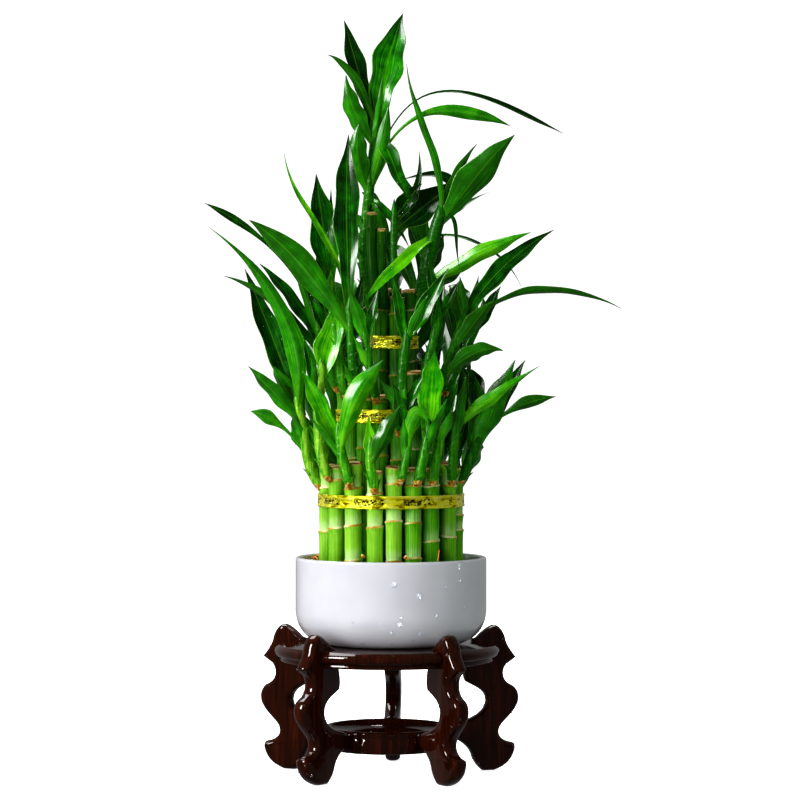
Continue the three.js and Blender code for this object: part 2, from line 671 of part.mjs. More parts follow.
// A piece made along +X, turned to stand at an angle round the stand's axis.
const roundStand = (solid, angle) => solid.rotate([0, 0, angle - 90]).translate([STAND.x, 0, 0]);
STAND.legAngles.forEach((angle, i) => {
  keep(`stand_leg_${i + 1}`, roundStand(solidFrom(legBlank), angle), FINISH.wood);
});

const { boardRadius, boardBottom, boardTop, slotEnd, ringRadius, ringHole, ringBottom, ringTop } = STAND;
const boardBlank = turned([
  [0, boardBottom], [boardRadius - 5, boardBottom], [boardRadius - 1.2, boardBottom + 2.5],
  [boardRadius, (boardBottom + boardTop) / 2], [boardRadius - 1.2, boardTop - 2.5], [boardRadius - 5, boardTop],
  [0, boardTop],
], 32);
const slotWidth = STAND.legThickness + 2 * GAP;
const slot = new THREE.BoxGeometry(boardRadius, slotWidth, boardTop - boardBottom + 2);
slot.translate(slotEnd + boardRadius / 2, 0, (boardBottom + boardTop) / 2);
const slots = STAND.legAngles.map((angle) => roundStand(solidFrom(slot), angle));
keep('stand_board', slots.reduce((left, cut) => left.subtract(cut), boardBlank.translate([STAND.x, 0, 0])),
  FINISH.wood);
keep('stand_ring', turned([
  [ringHole, ringBottom], [ringRadius - 2, ringBottom], [ringRadius, ringBottom + 2.5], [ringRadius, ringTop - 2],
  [ringRadius - 2, ringTop], [ringHole, ringTop], [ringHole, ringBottom],
], 28, STAND.x), FINISH.wood);

// Bowl: an upright wall that turns in on a round corner to a foot ring, with a rounded lip.
const corner = BOWL.radius - BOWL.footRadius;
const inner = BOWL.radius - BOWL.wall;
const { innerCorner } = BOWL;
keep('bowl', turned([
  [0, BOWL.base + 1.5], [BOWL.footRadius - 6, BOWL.base + 1.5], [BOWL.footRadius - 5, BOWL.base],
  ...arc(BOWL.footRadius, BOWL.base + corner, corner, -90, 0, 4),
  ...arc(BOWL.radius - BOWL.wall / 2, BOWL.rim - BOWL.wall / 2, BOWL.wall / 2, 0, 180, 3),
  ...arc(inner - innerCorner, BOWL.floor + innerCorner, innerCorner, 0, -90, 2),
  [0, BOWL.floor],
], BOWL.sides), FINISH.bowl);

// Ribbons: a taut band round each tier's ring of canes.
const discsOf = (tier) => canes
  .filter((cane) => cane.tier === tier && Math.hypot(cane.x - TIERS[tier].x, cane.y) > 1)
  .sort((a, b) => a.angle - b.angle)
  .map((cane) => [cane.x, cane.y, cane.radius]);
function upright(outline, holes, from, to) {
  const shape = new THREE.Shape(outline);
  holes.forEach((hole) => shape.holes.push(new THREE.Path(hole)));
  return solidFrom(new THREE.ExtrudeGeometry(shape, { depth: to - from, bevelEnabled: false }).translate(0, 0, from));
}
Object.entries(TIERS).forEach(([tier, { ribbon }]) => {
  const discs = discsOf(tier);
  const steps = discs.length < 10 ? 3 : 1;
  const band = upright(tautLoop(discs, GAP + RIBBON_THICKNESS, steps), [tautLoop(discs, GAP, steps)], ...ribbon);
  keep(`ribbon_${tier}`, band, FINISH.ribbon);
});

// Water: fills the bowl round the bundle of canes.
const waterBody = turned([
  [0, BOWL.floor + GAP], ...arc(inner - innerCorner, BOWL.floor + innerCorner, innerCorner - GAP, -90, 0, 2),
  [inner - GAP, WATER_LEVEL], [0, WATER_LEVEL],
], BOWL.sides);
keep('water', waterBody.subtract(upright(tautLoop(discsOf('outer'), GAP, 1), [], BOWL.floor - 1, WATER_LEVEL + 1)),
  FINISH.water);

// Canes with their stems first, then each leaf in turn, swung until it clears every other piece.
const grown = canes.map((cane, i) => {
  const { line, thick, stubs = [] } = growths[i];
  const solids = [caneSolid(cane), ...stubs.map(stubSolid)];
  if (line) solids.push(stemSolid({ line, thick }));
  return solids.map(boxed);
});
const fixed = [...pieces.values()].map(({ solid }) => boxed(solid));
const leafCount = { kept: 0, dropped: [] };
growths.forEach(({ leaves }, i) => {
  leaves.forEach((leaf, k) => {
    const others = [...fixed, ...grown.filter((_, j) => j !== i).flat()];
    const swing = SWINGS.find((degrees) => {
      const fat = leafSolid(leaf, degrees, CLEARANCE);
      return clears(fat, fat.boundingBox(), others);
    });
    if (swing === undefined) {
      leafCount.dropped.push(`${canes[i].name} ${k}`);
      return;
    }
    leafCount.kept += 1;
    grown[i].push(boxed(leafSolid(leaf, swing, 0)));
  });
});
canes.forEach((cane, i) => keep(cane.name, fused(grown[i].map(({ solid }) => solid)), FINISH.cane));

const group = new THREE.Group();
pieces.forEach(({ solid, material }, name) => {
  const mesh = new THREE.Mesh(geometryFrom(solid), material);
  mesh.name = name;
  group.add(mesh);
});
// The origin sits under the middle of the whole, on the surface that it stands on.
const box = new THREE.Box3().setFromObject(group);
group.position.set(-(box.min.x + box.max.x) / 2, -(box.min.y + box.max.y) / 2, -box.min.z);
group.userData = leafCount;

export default group;
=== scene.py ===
# A lucky bamboo: three tiers of tied canes with leafy shoots, in a glazed bowl on a lacquered stand.
# The dictionaries are in millimetres round the plant's own upright, with the floor at 0. Angles run from
# the viewer's side, -Y, towards +X.
import math

import bpy
import numpy as np
from mathutils import Matrix, Vector


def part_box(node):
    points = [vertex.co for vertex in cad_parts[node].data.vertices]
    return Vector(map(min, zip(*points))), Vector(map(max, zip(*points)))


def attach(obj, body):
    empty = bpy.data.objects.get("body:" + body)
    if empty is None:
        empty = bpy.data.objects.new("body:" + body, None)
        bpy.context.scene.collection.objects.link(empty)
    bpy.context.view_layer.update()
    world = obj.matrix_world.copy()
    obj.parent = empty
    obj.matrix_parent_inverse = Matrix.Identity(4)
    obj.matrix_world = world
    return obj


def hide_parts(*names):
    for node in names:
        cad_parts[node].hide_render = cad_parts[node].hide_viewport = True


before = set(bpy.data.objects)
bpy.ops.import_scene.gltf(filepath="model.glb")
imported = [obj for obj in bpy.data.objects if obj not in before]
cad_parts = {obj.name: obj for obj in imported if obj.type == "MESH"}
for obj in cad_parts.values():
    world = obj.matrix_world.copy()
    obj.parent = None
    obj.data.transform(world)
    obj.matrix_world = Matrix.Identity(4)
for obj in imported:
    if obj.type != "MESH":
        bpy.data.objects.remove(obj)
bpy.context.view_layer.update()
bowlLow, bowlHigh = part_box("bowl")
upright = np.array([(bowlLow.x + bowlHigh.x) / 2, (bowlLow.y + bowlHigh.y) / 2, 0.0])
tau = 2 * math.pi
millimetre = 0.001


def gridFaces(rows, columns):
    # Quads (i, j), (i, j + 1), (i + 1, j + 1), (i + 1, j) of rows i, closed round in j.
    i, j = np.meshgrid(np.arange(rows - 1), np.arange(columns), indexing="ij")
    k = (j + 1) % columns
    quads = np.stack([i * columns + j, i * columns + k, (i + 1) * columns + k, (i + 1) * columns + j], -1)
    return quads.reshape(-1, 4).tolist()


def around(count):
    # That many even angles round a circle, from 0.
    return np.arange(count) * tau / count


def skin(grid, marks, material=0, cyclic=False):
    # One closed part from grid[i, j]: capped at both ends, or, if cyclic, its last row joined to its first.
    rows, columns = grid.shape[:2]
    faces = gridFaces(rows, columns)
    if cyclic:
        joint = np.array(gridFaces(2, columns))
        last = (rows - 1) * columns
        faces += np.where(joint < columns, joint + last, joint - columns).tolist()
    else:
        faces += [list(range(columns))[::-1], list(range((rows - 1) * columns, rows * columns))]
    spread = {name: np.broadcast_to(value, (rows, columns)).ravel() for name, value in marks.items()}
    return {"points": grid.reshape(-1, 3), "faces": faces, "marks": spread, "material": material}


def unit(vectors):
    # Each vector divided by its length.
    return vectors / np.linalg.norm(vectors, axis=-1, keepdims=True)


def rightOf(ahead):
    # The unit vectors (y, -x) / |(x, y)| to the right of ways in a plane.
    return unit(np.stack([ahead[:, 1], -ahead[:, 0]], 1))


def atLevels(flat, z):
    # Rows of points (x, y), each row at its own height.
    return np.concatenate([flat, np.broadcast_to(z[:, None, None], (*flat.shape[:2], 1))], -1)


def dome(place, outward, radius, tall, long, sides):
    # P(q, a) = place + radius (sin q (cos a u + long sin a v) + tall (1.25 cos q - 0.25) outward): a
    # flattened bead of water on a surface, with v the most upright way along it.
    v = np.array([0, 0, 1.0]) if abs(outward[2]) < 0.95 else np.array([0, 1.0, 0])
    v = unit(v - outward * (v @ outward))
    u = np.cross(v, outward)
    q = np.radians([104, 90, 68, 40, 8])[:, None, None]
    a = around(sides)[None, :, None]
    flat = np.sin(q) * (np.cos(a) * u + long * np.sin(a) * v)
    return skin(np.array(place) + radius * (flat + tall * (1.25 * np.cos(q) - 0.25) * outward), {})


def tube(points, radii, columns, marks):
    # P(i, a) = points(i) + r_i (cos a u_i + sin a v_i), with u and v square to the way on.
    way = unit(np.gradient(points, axis=0))
    u = unit(np.cross(way, np.array([0.3, 0.9, 0.2])))
    v = np.cross(way, u)
    a = around(columns)[None, :, None]
    ring = np.cos(a) * u[:, None] + np.sin(a) * v[:, None]
    return skin(points[:, None] + radii[:, None, None] * ring, marks)


def turned(profile, sides, x=0.0, cyclic=False):
    # P(i, a) = (x + r_i cos a, r_i sin a, z_i) for profile rows (r_i, z_i), cyclic round a hole.
    r, z = np.array(profile, float).T
    a = around(sides)
    grid = atLevels(np.stack([x + np.outer(r, np.cos(a)), np.outer(r, np.sin(a))], -1), z)
    return skin(grid, {}, cyclic=cyclic)


def placed(name, data):
    # An object that shows the data, linked to the scene.
    thing = bpy.data.objects.new(name, data)
    bpy.context.scene.collection.objects.link(thing)
    return thing


def putPiece(name, parts, materials, nodes=()):
    # Joins parts into one mesh, in metres in the frame, with each mark as a float attribute on its points.
    starts = np.cumsum([0] + [len(part["points"]) for part in parts])
    points = np.concatenate([part["points"] for part in parts]) * millimetre + upright
    faces = [[corner + start for corner in face] for part, start in zip(parts, starts.tolist())
             for face in part["faces"]]
    mesh = bpy.data.meshes.new(name)
    mesh.from_pydata(points, [], faces)
    for mark in sorted({mark for part in parts for mark in part["marks"]}):
        values = [part["marks"].get(mark, np.zeros(len(part["points"]))) for part in parts]
        attribute = mesh.attributes.new(mark, "FLOAT", "POINT")
        attribute.data.foreach_set("value", np.concatenate(values).astype("f4"))
    slots = np.concatenate([np.full(len(part["faces"]), part["material"]) for part in parts])
    mesh.polygons.foreach_set("material_index", slots.astype("i4"))
    mesh.polygons.foreach_set("use_smooth", np.ones(len(faces), bool))
    for material in materials:
        mesh.materials.append(material)
    mesh.update()
    piece = placed(name, mesh)
    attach(piece, "root")
    if nodes:
        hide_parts(*nodes)


def arcPoints(r, z, radius, start, end, steps):
    # (r + radius cos a, z + radius sin a) for a from start to end in degrees.
    a = np.radians(np.linspace(start, end, steps))
    return np.stack([r + radius * np.cos(a), z + radius * np.sin(a)], 1).tolist()


def smoothStep(value, low, high):
    # 0 below low, 1 above high and 3 t^2 - 2 t^3 between.
    t = np.clip((value - low) / (high - low), 0, 1)
    return t * t * (3 - 2 * t)


def draws(seed):
    # Random numbers from 0 to 1, the same for the same seed: 32-bit multiply, shift and exclusive-or.
    word = 0xFFFFFFFF
    state = seed & word
    while True:
        state = (state + 0x6D2B79F5) & word
        t = ((state ^ (state >> 15)) * (state | 1)) & word
        t ^= (t + ((t ^ (t >> 7)) * (t | 61))) & word
        yield ((t ^ (t >> 14)) & word) / 4294967296


def lerp(a, b, t):
    # a at t = 0, b at t = 1, and a + (b - a) t between.
    return a + (b - a) * t


def linear(code):
    # sRGB s to linear light: s / 12.92 up to 0.04045, then ((s + 0.055) / 1.055) ^ 2.4.
    s = np.array([int(code[k:k + 2], 16) for k in (1, 3, 5)]) / 255
    return (*np.where(s <= 0.04045, s / 12.92, ((s + 0.055) / 1.055) ** 2.4).tolist(), 1.0)


def node(tree, kind, inputs=(), stops=(), out=0, **settings):
    # Adds a node and gives one of its outputs. Its inputs are values or other nodes' outputs, in the order
    # of its sockets or by their names, and settings are its properties. A map range takes the value, the
    # range it comes from and the range it goes to.
    made = tree.nodes.new(kind)
    for key, value in settings.items():
        setattr(made, key, value)
    for socket, value in inputs.items() if isinstance(inputs, dict) else enumerate(inputs):
        if isinstance(value, bpy.types.NodeSocket):
            tree.links.new(value, made.inputs[socket])
        else:
            made.inputs[socket].default_value = value
    if stops:
        elements = made.color_ramp.elements
        while len(elements) < len(stops):
            elements.new(0.5)
        for element, (place, code) in zip(elements, stops):
            element.position = place
            element.color = linear(code)
    return made.outputs[out]


def blank(name, **sockets):
    # A material with one Principled shader, and its constants on the shader's own sockets.
    material = bpy.data.materials.new(name)
    material.use_nodes = True
    shader = material.node_tree.nodes["Principled BSDF"]
    for socket, value in sockets.items():
        shader.inputs[socket.replace("_", " ")].default_value = value
    return material, material.node_tree, shader


def fed(material, shader, outputs):
    # The material, once the outputs feed the shader's sockets of these names.
    for socket, output in outputs.items():
        material.node_tree.links.new(output, shader.inputs[socket])
    return material


def leafBlade():
    # Waxy leaf: a dark glossy skin, fine veins along it, a paler midrib, a painted highlight along the
    # margin, and a duller underside.
    material, tree, shader = blank("waxyLeafBlade", IOR=1.45, Specular_IOR_Level=0.45)
    across, along, tone, under = (node(tree, "ShaderNodeAttribute", out="Fac", attribute_name=name)
                                  for name in ("across", "along", "tone", "under"))
    # Veins 0.7 mm apart on a blade 15 mm wide, so about 10 in each half.
    veinX, veinY, veinZ = (node(tree, "ShaderNodeMath", [mark, times], operation="MULTIPLY")
                           for mark, times in ((across, 11.0), (along, 1.6), (tone, 40.0)))
    place = node(tree, "ShaderNodeCombineXYZ", [veinX, veinY, veinZ])
    veins = node(tree, "ShaderNodeTexNoise", {"Vector": place, "Scale": 1.0, "Detail": 2.0})
    lift = node(tree, "ShaderNodeMapRange", [veins, 0.3, 0.7, -0.26, 0.26])
    # Cloudy patches a few millimetres across.
    spot = node(tree, "ShaderNodeTexCoord", out="Object")
    clouds = node(tree, "ShaderNodeTexNoise", {"Vector": spot, "Scale": 90.0, "Detail": 3.0})
    cloudy = node(tree, "ShaderNodeMapRange", [clouds, 0.3, 0.7, -0.22, 0.22])
    tipped = node(tree, "ShaderNodeMapRange", [along, 0.3, 1.0, 0.08, -0.22])
    shade = tone
    for more in (lift, cloudy, tipped):
        shade = node(tree, "ShaderNodeMath", [shade, more], operation="ADD")
    colour = node(tree, "ShaderNodeValToRGB", [shade], stops=[
        (0.0, "#042E00"), (0.3, "#0C5800"), (0.6, "#229400"), (1.0, "#70D008")])
    # The midrib, the margin and the foot: where each lies, how strong it is there, and its colour. The
    # margin's pale line is a painted highlight.
    centre = node(tree, "ShaderNodeMath", [across], operation="ABSOLUTE")
    for mark, places, strengths, code in (
            (centre, (0.02, 0.08), (0.3, 0.0), "#6CBC18"), (centre, (0.93, 1.0), (0.0, 0.5), "#A4DC60"),
            (along, (0.0, 0.2), (0.4, 0.0), "#6CBC18")):
        strong = node(tree, "ShaderNodeMapRange", [mark, *places, *strengths])
        colour = node(tree, "ShaderNodeMix", {"Factor": strong, "A": colour, "B": linear(code)},
                      out="Result", data_type="RGBA")
    below = node(tree, "ShaderNodeMath", [under, 0.3], operation="MULTIPLY")
    both = node(tree, "ShaderNodeMix", {"Factor": below, "A": colour, "B": linear("#3A9010")},
                out="Result", data_type="RGBA")
    dull = node(tree, "ShaderNodeMapRange", [under, 0.0, 1.0, 0.16, 0.2])
    bump = node(tree, "ShaderNodeBump", {"Height": veins, "Strength": 0.4, "Distance": 0.0002})
    return fed(material, shader, {"Base Color": both, "Roughness": dull, "Normal": bump})


def shootSheath():
    # Young stem wrapped in leaf sheaths: smooth, yellower than the leaves, a pale line under each sheath's
    # edge and a corky orange crust where it breaks out of the cane.
    material, tree, shader = blank("leafSheath", IOR=1.45, Roughness=0.3, Specular_IOR_Level=0.25)
    edge, crust, tone = (node(tree, "ShaderNodeAttribute", out="Fac", attribute_name=name)
                         for name in ("edge", "crust", "tone"))
    spot = node(tree, "ShaderNodeTexCoord", out="Object")
    # Streaks about 1.5 mm wide and 25 mm long.
    streaky = node(tree, "ShaderNodeMapping", {"Vector": spot, "Scale": (650.0, 650.0, 40.0)})
    streaks = node(tree, "ShaderNodeTexNoise", {"Vector": streaky, "Scale": 1.0, "Detail": 3.0})
    shade = node(tree, "ShaderNodeMath", [streaks, tone], operation="ADD")
    green = node(tree, "ShaderNodeValToRGB", [shade], stops=[
        (0.4, "#126000"), (0.68, "#3C9C04"), (0.98, "#A4D83C")])
    line = node(tree, "ShaderNodeMapRange", [edge, -1.0, -0.2, 0.0, 0.06])
    under = node(tree, "ShaderNodeMath", [edge, 0.06], operation="LESS_THAN")
    pale = node(tree, "ShaderNodeMath", [line, under], operation="MULTIPLY")
    lined = node(tree, "ShaderNodeMix", {"Factor": pale, "A": green, "B": linear("#B4DC6C")},
                 out="Result", data_type="RGBA")
    # Crumbs of cork 1 to 3 mm across.
    crumbs = node(tree, "ShaderNodeTexNoise", {"Vector": spot, "Scale": 420.0, "Detail": 4.0})
    cork = node(tree, "ShaderNodeValToRGB", [crumbs], stops=[
        (0.34, "#5E3A0C"), (0.5, "#C08420"), (0.66, "#F0D488")])
    ragged = node(tree, "ShaderNodeMath", [crust, crumbs], operation="ADD")
    rough = node(tree, "ShaderNodeMapRange", [ragged, 0.93, 1.03])
    corked = node(tree, "ShaderNodeMix", {"Factor": rough, "A": lined, "B": cork},
                  out="Result", data_type="RGBA")
    bump = node(tree, "ShaderNodeBump", {"Height": streaks, "Strength": 0.35, "Distance": 0.0003})
    return fed(material, shader, {"Base Color": corked, "Normal": bump})


def caneRind():
    # Smooth waxy cane: fresh green with fine pale fibres up it, a powdery bloom over each node, a corky
    # scar line at the node, and a cut top with a tan rind round dried brown pith.
    material, tree, shader = blank("waxyCaneRind", IOR=1.45, Specular_IOR_Level=0.25)
    scar, powder, cut, core, tone = (node(tree, "ShaderNodeAttribute", out="Fac", attribute_name=name)
                                     for name in ("scar", "powder", "cut", "core", "tone"))
    spot = node(tree, "ShaderNodeTexCoord", out="Object")
    # Fibres about 0.8 mm wide and 60 mm long.
    fibreMap = node(tree, "ShaderNodeMapping", {"Vector": spot, "Scale": (1200.0, 1200.0, 16.0)})
    fibres = node(tree, "ShaderNodeTexNoise", {"Vector": fibreMap, "Scale": 1.0, "Detail": 3.0,
                                               "Roughness": 0.6})
    patches = node(tree, "ShaderNodeTexNoise", {"Vector": spot, "Scale": 60.0, "Detail": 2.0})
    faint = node(tree, "ShaderNodeMath", [patches, 0.35], operation="MULTIPLY")
    shade = fibres
    for more in (faint, tone):
        shade = node(tree, "ShaderNodeMath", [shade, more], operation="ADD")
    green = node(tree, "ShaderNodeValToRGB", [shade], stops=[
        (0.1, "#145400"), (0.45, "#509E08"), (0.7, "#7CBE24"), (1.0, "#AEE050")])
    wobble = node(tree, "ShaderNodeTexNoise", {"Vector": spot, "Scale": 500.0, "Detail": 2.0})
    patchy = node(tree, "ShaderNodeMapRange", [shade, 0.3, 0.85, 0.25, 0.95])
    dusty = node(tree, "ShaderNodeMath", [powder, patchy], operation="MULTIPLY")
    bloomed = node(tree, "ShaderNodeMix", {"Factor": dusty, "A": green, "B": linear("#C8E8A0")},
                   out="Result", data_type="RGBA")
    # The scar's mark falls from 1 to 0 over 1.6 mm, and the noise moves its edges by up to 0.5 mm.
    ragged = node(tree, "ShaderNodeMapRange", [wobble, 0.0, 1.0, -0.35, 0.35])
    near = node(tree, "ShaderNodeMath", [scar, ragged], operation="ADD")
    # The scar is fainter on darker canes, so that it fades in the inner tiers' painted shade.
    scarInPaintedShade = node(tree, "ShaderNodeMapRange", [tone, -0.5, 0.0, 0.35, 1.0])
    scarMask = node(tree, "ShaderNodeMapRange", [near, 0.48, 0.6, 0.0, scarInPaintedShade])
    scarShade = node(tree, "ShaderNodeValToRGB", [patches], stops=[
        (0.34, "#94661A"), (0.5, "#C89838"), (0.62, "#F4E8BC")])
    scarred = node(tree, "ShaderNodeMix", {"Factor": scarMask, "A": bloomed, "B": scarShade},
                   out="Result", data_type="RGBA")
    # core: -0.35 on the dried side, 0 at the rind's edge, 1 in the middle of the pith.
    inward = node(tree, "ShaderNodeMapRange", [core, -0.4, 1.0])
    uneven = node(tree, "ShaderNodeMapRange", [wobble, 0.0, 1.0, -0.12, 0.12])
    pithPlace = node(tree, "ShaderNodeMath", [inward, uneven], operation="ADD")
    pith = node(tree, "ShaderNodeValToRGB", [pithPlace], stops=[
        (0.0, "#CCAC68"), (0.2, "#946828"), (0.28, "#3C260C"), (0.36, "#5E4018"), (0.46, "#CEB67C"),
        (0.75, "#AA8A50"), (1.0, "#5A3C1A")])
    torn = node(tree, "ShaderNodeMath", [cut, wobble], operation="ADD")
    cutWhere = node(tree, "ShaderNodeMapRange", [torn, 0.85, 0.95])
    topped = node(tree, "ShaderNodeMix", {"Factor": cutWhere, "A": scarred, "B": pith},
                  out="Result", data_type="RGBA")
    dull = node(tree, "ShaderNodeMapRange", [cutWhere, 0.0, 1.0, 0.33, 0.85])
    bump = node(tree, "ShaderNodeBump", {"Height": fibres, "Strength": 0.25, "Distance": 0.0003})
    return fed(material, shader, {"Base Color": topped, "Roughness": dull, "Normal": bump})


def goldFoil():
    # Embossed gold foil ribbon: bright mirror-like metal on plastic, crumpled, with smooth borders and
    # blocks of a dark squiggle stamped between them. Its crumples are painted darker and paler gold as
    # painted reflection.
    material, tree, shader = blank("goldFoilRibbon", Metallic=0.5, Roughness=0.16, IOR=1.5)
    roundIt, high, ply = (node(tree, "ShaderNodeAttribute", out="Fac", attribute_name=name)
                          for name in ("round", "high", "ply"))
    # Squiggles about 1.2 mm wide, in blocks some 15 mm long that leave gaps.
    place = node(tree, "ShaderNodeCombineXYZ", [roundIt, high])
    lines = node(tree, "ShaderNodeTexNoise", {"Vector": place, "Scale": 0.55, "Detail": 1.0,
                                              "Distortion": 1.6})
    squiggle = node(tree, "ShaderNodeMapRange", [lines, 0.5, 0.54])
    alongOnly = node(tree, "ShaderNodeCombineXYZ", [roundIt])
    runs = node(tree, "ShaderNodeTexNoise", {"Vector": alongOnly, "Scale": 0.05, "Detail": 0.0})
    block = node(tree, "ShaderNodeMapRange", [runs, 0.46, 0.48])
    middle = node(tree, "ShaderNodeMath", [high], operation="ABSOLUTE")
    inside = node(tree, "ShaderNodeMapRange", [middle, 2.3, 2.7, 1.0, 0.0])
    printed = node(tree, "ShaderNodeMath", [block, inside], operation="MULTIPLY")
    onePly = node(tree, "ShaderNodeMath", [1.0, ply], operation="SUBTRACT")
    shown = node(tree, "ShaderNodeMath", [printed, onePly], operation="MULTIPLY")
    stamped = node(tree, "ShaderNodeMath", [squiggle, shown], operation="MULTIPLY")
    # Creases about 4 mm apart, drawn out along the ribbon.
    creased = node(tree, "ShaderNodeMapping", {"Vector": place, "Scale": (0.1, 0.3, 1.0)})
    crumple = node(tree, "ShaderNodeTexNoise", {"Vector": creased, "Scale": 1.0, "Detail": 3.0})
    # Painted reflection: the crumples' dark olive and pale yellow stand in for what the foil mirrors.
    gold = node(tree, "ShaderNodeValToRGB", [crumple], stops=[
        (0.36, "#947E00"), (0.48, "#FCFA00"), (0.64, "#FFFF60")])
    inked = node(tree, "ShaderNodeMix", {"Factor": stamped, "A": gold, "B": linear("#2C2400")},
                 out="Result", data_type="RGBA")
    deep = node(tree, "ShaderNodeMath", [stamped, -0.12], operation="MULTIPLY")
    relief = node(tree, "ShaderNodeMath", [crumple, deep], operation="ADD")
    bump = node(tree, "ShaderNodeBump", {"Height": relief, "Strength": 1.0, "Distance": 0.004})
    return fed(material, shader, {"Base Color": inked, "Normal": bump})


def porcelain():
    # Glazed white porcelain: a cool white body under a clear, slightly uneven glaze.
    material, tree, shader = blank("glazedPorcelain", Roughness=0.22, IOR=1.5, Coat_Weight=1.0,
                                   Coat_Roughness=0.04, Coat_IOR=1.5)
    spot = node(tree, "ShaderNodeTexCoord", out="Object")
    clouds = node(tree, "ShaderNodeTexNoise", {"Vector": spot, "Scale": 18.0, "Detail": 3.0})
    white = node(tree, "ShaderNodeValToRGB", [clouds], stops=[(0.35, "#CBCBD3"), (0.65, "#D7D7DD")])
    # The glaze pools in shallow waves about 12 mm across.
    waves = node(tree, "ShaderNodeTexNoise", {"Vector": spot, "Scale": 80.0, "Detail": 1.0})
    bump = node(tree, "ShaderNodeBump", {"Height": waves, "Strength": 0.12, "Distance": 0.0006})
    return fed(material, shader, {"Base Color": white, "Coat Normal": bump})


def lacquer():
    # Dark red-brown lacquer over wood: deep gloss, with the grain just showing through where light falls.
    material, tree, shader = blank("redBrownLacquer", Specular_IOR_Level=0.0, Coat_Weight=1.0,
                                   Coat_Roughness=0.03, Coat_IOR=1.52)
    spot = node(tree, "ShaderNodeTexCoord", out="Object")
    # Grain about 3 mm wide and 50 mm long, upright.
    grainMap = node(tree, "ShaderNodeMapping", {"Vector": spot, "Scale": (300.0, 300.0, 20.0)})
    grain = node(tree, "ShaderNodeTexNoise", {"Vector": grainMap, "Scale": 1.0, "Detail": 4.0,
                                              "Distortion": 0.6})
    brown = node(tree, "ShaderNodeValToRGB", [grain], stops=[
        (0.3, "#1E0801"), (0.55, "#301003"), (0.78, "#481906")])
    ripple = node(tree, "ShaderNodeTexNoise", {"Vector": spot, "Scale": 220.0, "Detail": 2.0})
    bump = node(tree, "ShaderNodeBump", {"Height": ripple, "Strength": 0.12, "Distance": 0.0008})
    return fed(material, shader, {"Base Color": brown, "Coat Normal": bump})


def clearWater(name, tint, glint):
    # Still clear water: see-through and mirror-smooth, with its own refraction. The glint is a slightly
    # rough coat that spreads a lamp's small mirror image on a drop into a larger spot of light.
    return blank(name, Base_Color=linear(tint), Roughness=0.0, IOR=1.333, Transmission_Weight=1.0,
                 Coat_Weight=glint, Coat_Roughness=0.2, Coat_IOR=1.65)[0]


def rootSkin():
    # Water root: orange and smooth, paler towards the tip.
    material, tree, shader = blank("waterRoot", Roughness=0.35)
    along = node(tree, "ShaderNodeAttribute", out="Fac", attribute_name="along")
    colour = node(tree, "ShaderNodeValToRGB", [along], stops=[
        (0.0, "#C96A12"), (0.7, "#E89A2C"), (1.0, "#F4E2B8")])
    return fed(material, shader, {"Base Color": colour})


leafMaterial = leafBlade()
sheathMaterial = shootSheath()
caneMaterial = caneRind()
foilMaterial = goldFoil()
bowlMaterial = porcelain()
woodMaterial = lacquer()
waterMaterial = clearWater("stillWater", "#E8F2EC", 0.0)
# The drops' grey tint is painted shade: it dims them.
dropMaterial = clearWater("waterDrop", "#DCE2E6", 0.35)
rootMaterial = rootSkin()
print("materials made")


# The eye that the shoots in view are listed from.
eye = {"x": 7.2, "distance": 2400.0, "height": 322.8}
canes = {
    "foot": 112.3, "radius": 6.2, "columns": 20,
    # from row to row along a plain stretch, and over how far a ring's tilt fades
    "rowStep": 12.0, "tiltFade": 6.0,
    "tiers": {"outer": (0.0, 57.6), "middle": (0.0, 43.2), "top": (2.5, 19.3)},
    # angle, radius, height of the cut top, heights of the node rings
    "outer": [
        (-84, 6.2, 246, [194, 229]), (-57, 6.2, 247, [198, 236]), (-35.5, 6.9, 250.6, [173.5, 201, 230]),
        (-14, 6.4, 243.5, [200, 226]), (2.5, 6.3, 247.5, [172.7, 204.4, 233.5, 246]),
        (20, 6.5, 246, [175, 202.8, 232]), (38, 6.5, 245, [188.6, 232]), (62, 6.3, 250, [191.6, 232]),
        (87, 6.3, 246, [195, 207, 232]),
    ],
    "middle": [
        (-57, 6.2, 312, [253, 300]), (-34.5, 6, 309, [262, 299]), (-12.5, 6.1, 303, [255, 298]),
        (9, 6.2, 303, [252.5, 275]), (31, 6.2, 322, [260, 303]), (55, 6.2, 312, [257, 302]),
        (80, 6.2, 313, [250, 304]),
    ],
    "top": [
        (-50, 6.1, 385, [323, 371]), (10, 6.1, 381, [318, 367]), (70, 6.1, 387, [330, 371]),
        (130, 6.1, 384, [325, 370]), (190, 6.1, 386, [320, 372]), (250, 6.1, 385, [328, 369]),
    ],
    "centre": (0, 6.1, 388, [332, 376]), "centreName": "cane_top_07",
    # the canes behind: how many, between which angles, their tops and their node rings
    "outerBack": {"count": 9, "from": 87, "to": 276, "top": (243, 7), "ring": (229, 5), "low": (190, 16)},
    "middleBack": {"count": 7, "from": 80, "to": 303, "top": (305, 7), "ring": (303, 5), "low": (250, 14)},
    "seed": 7,
}


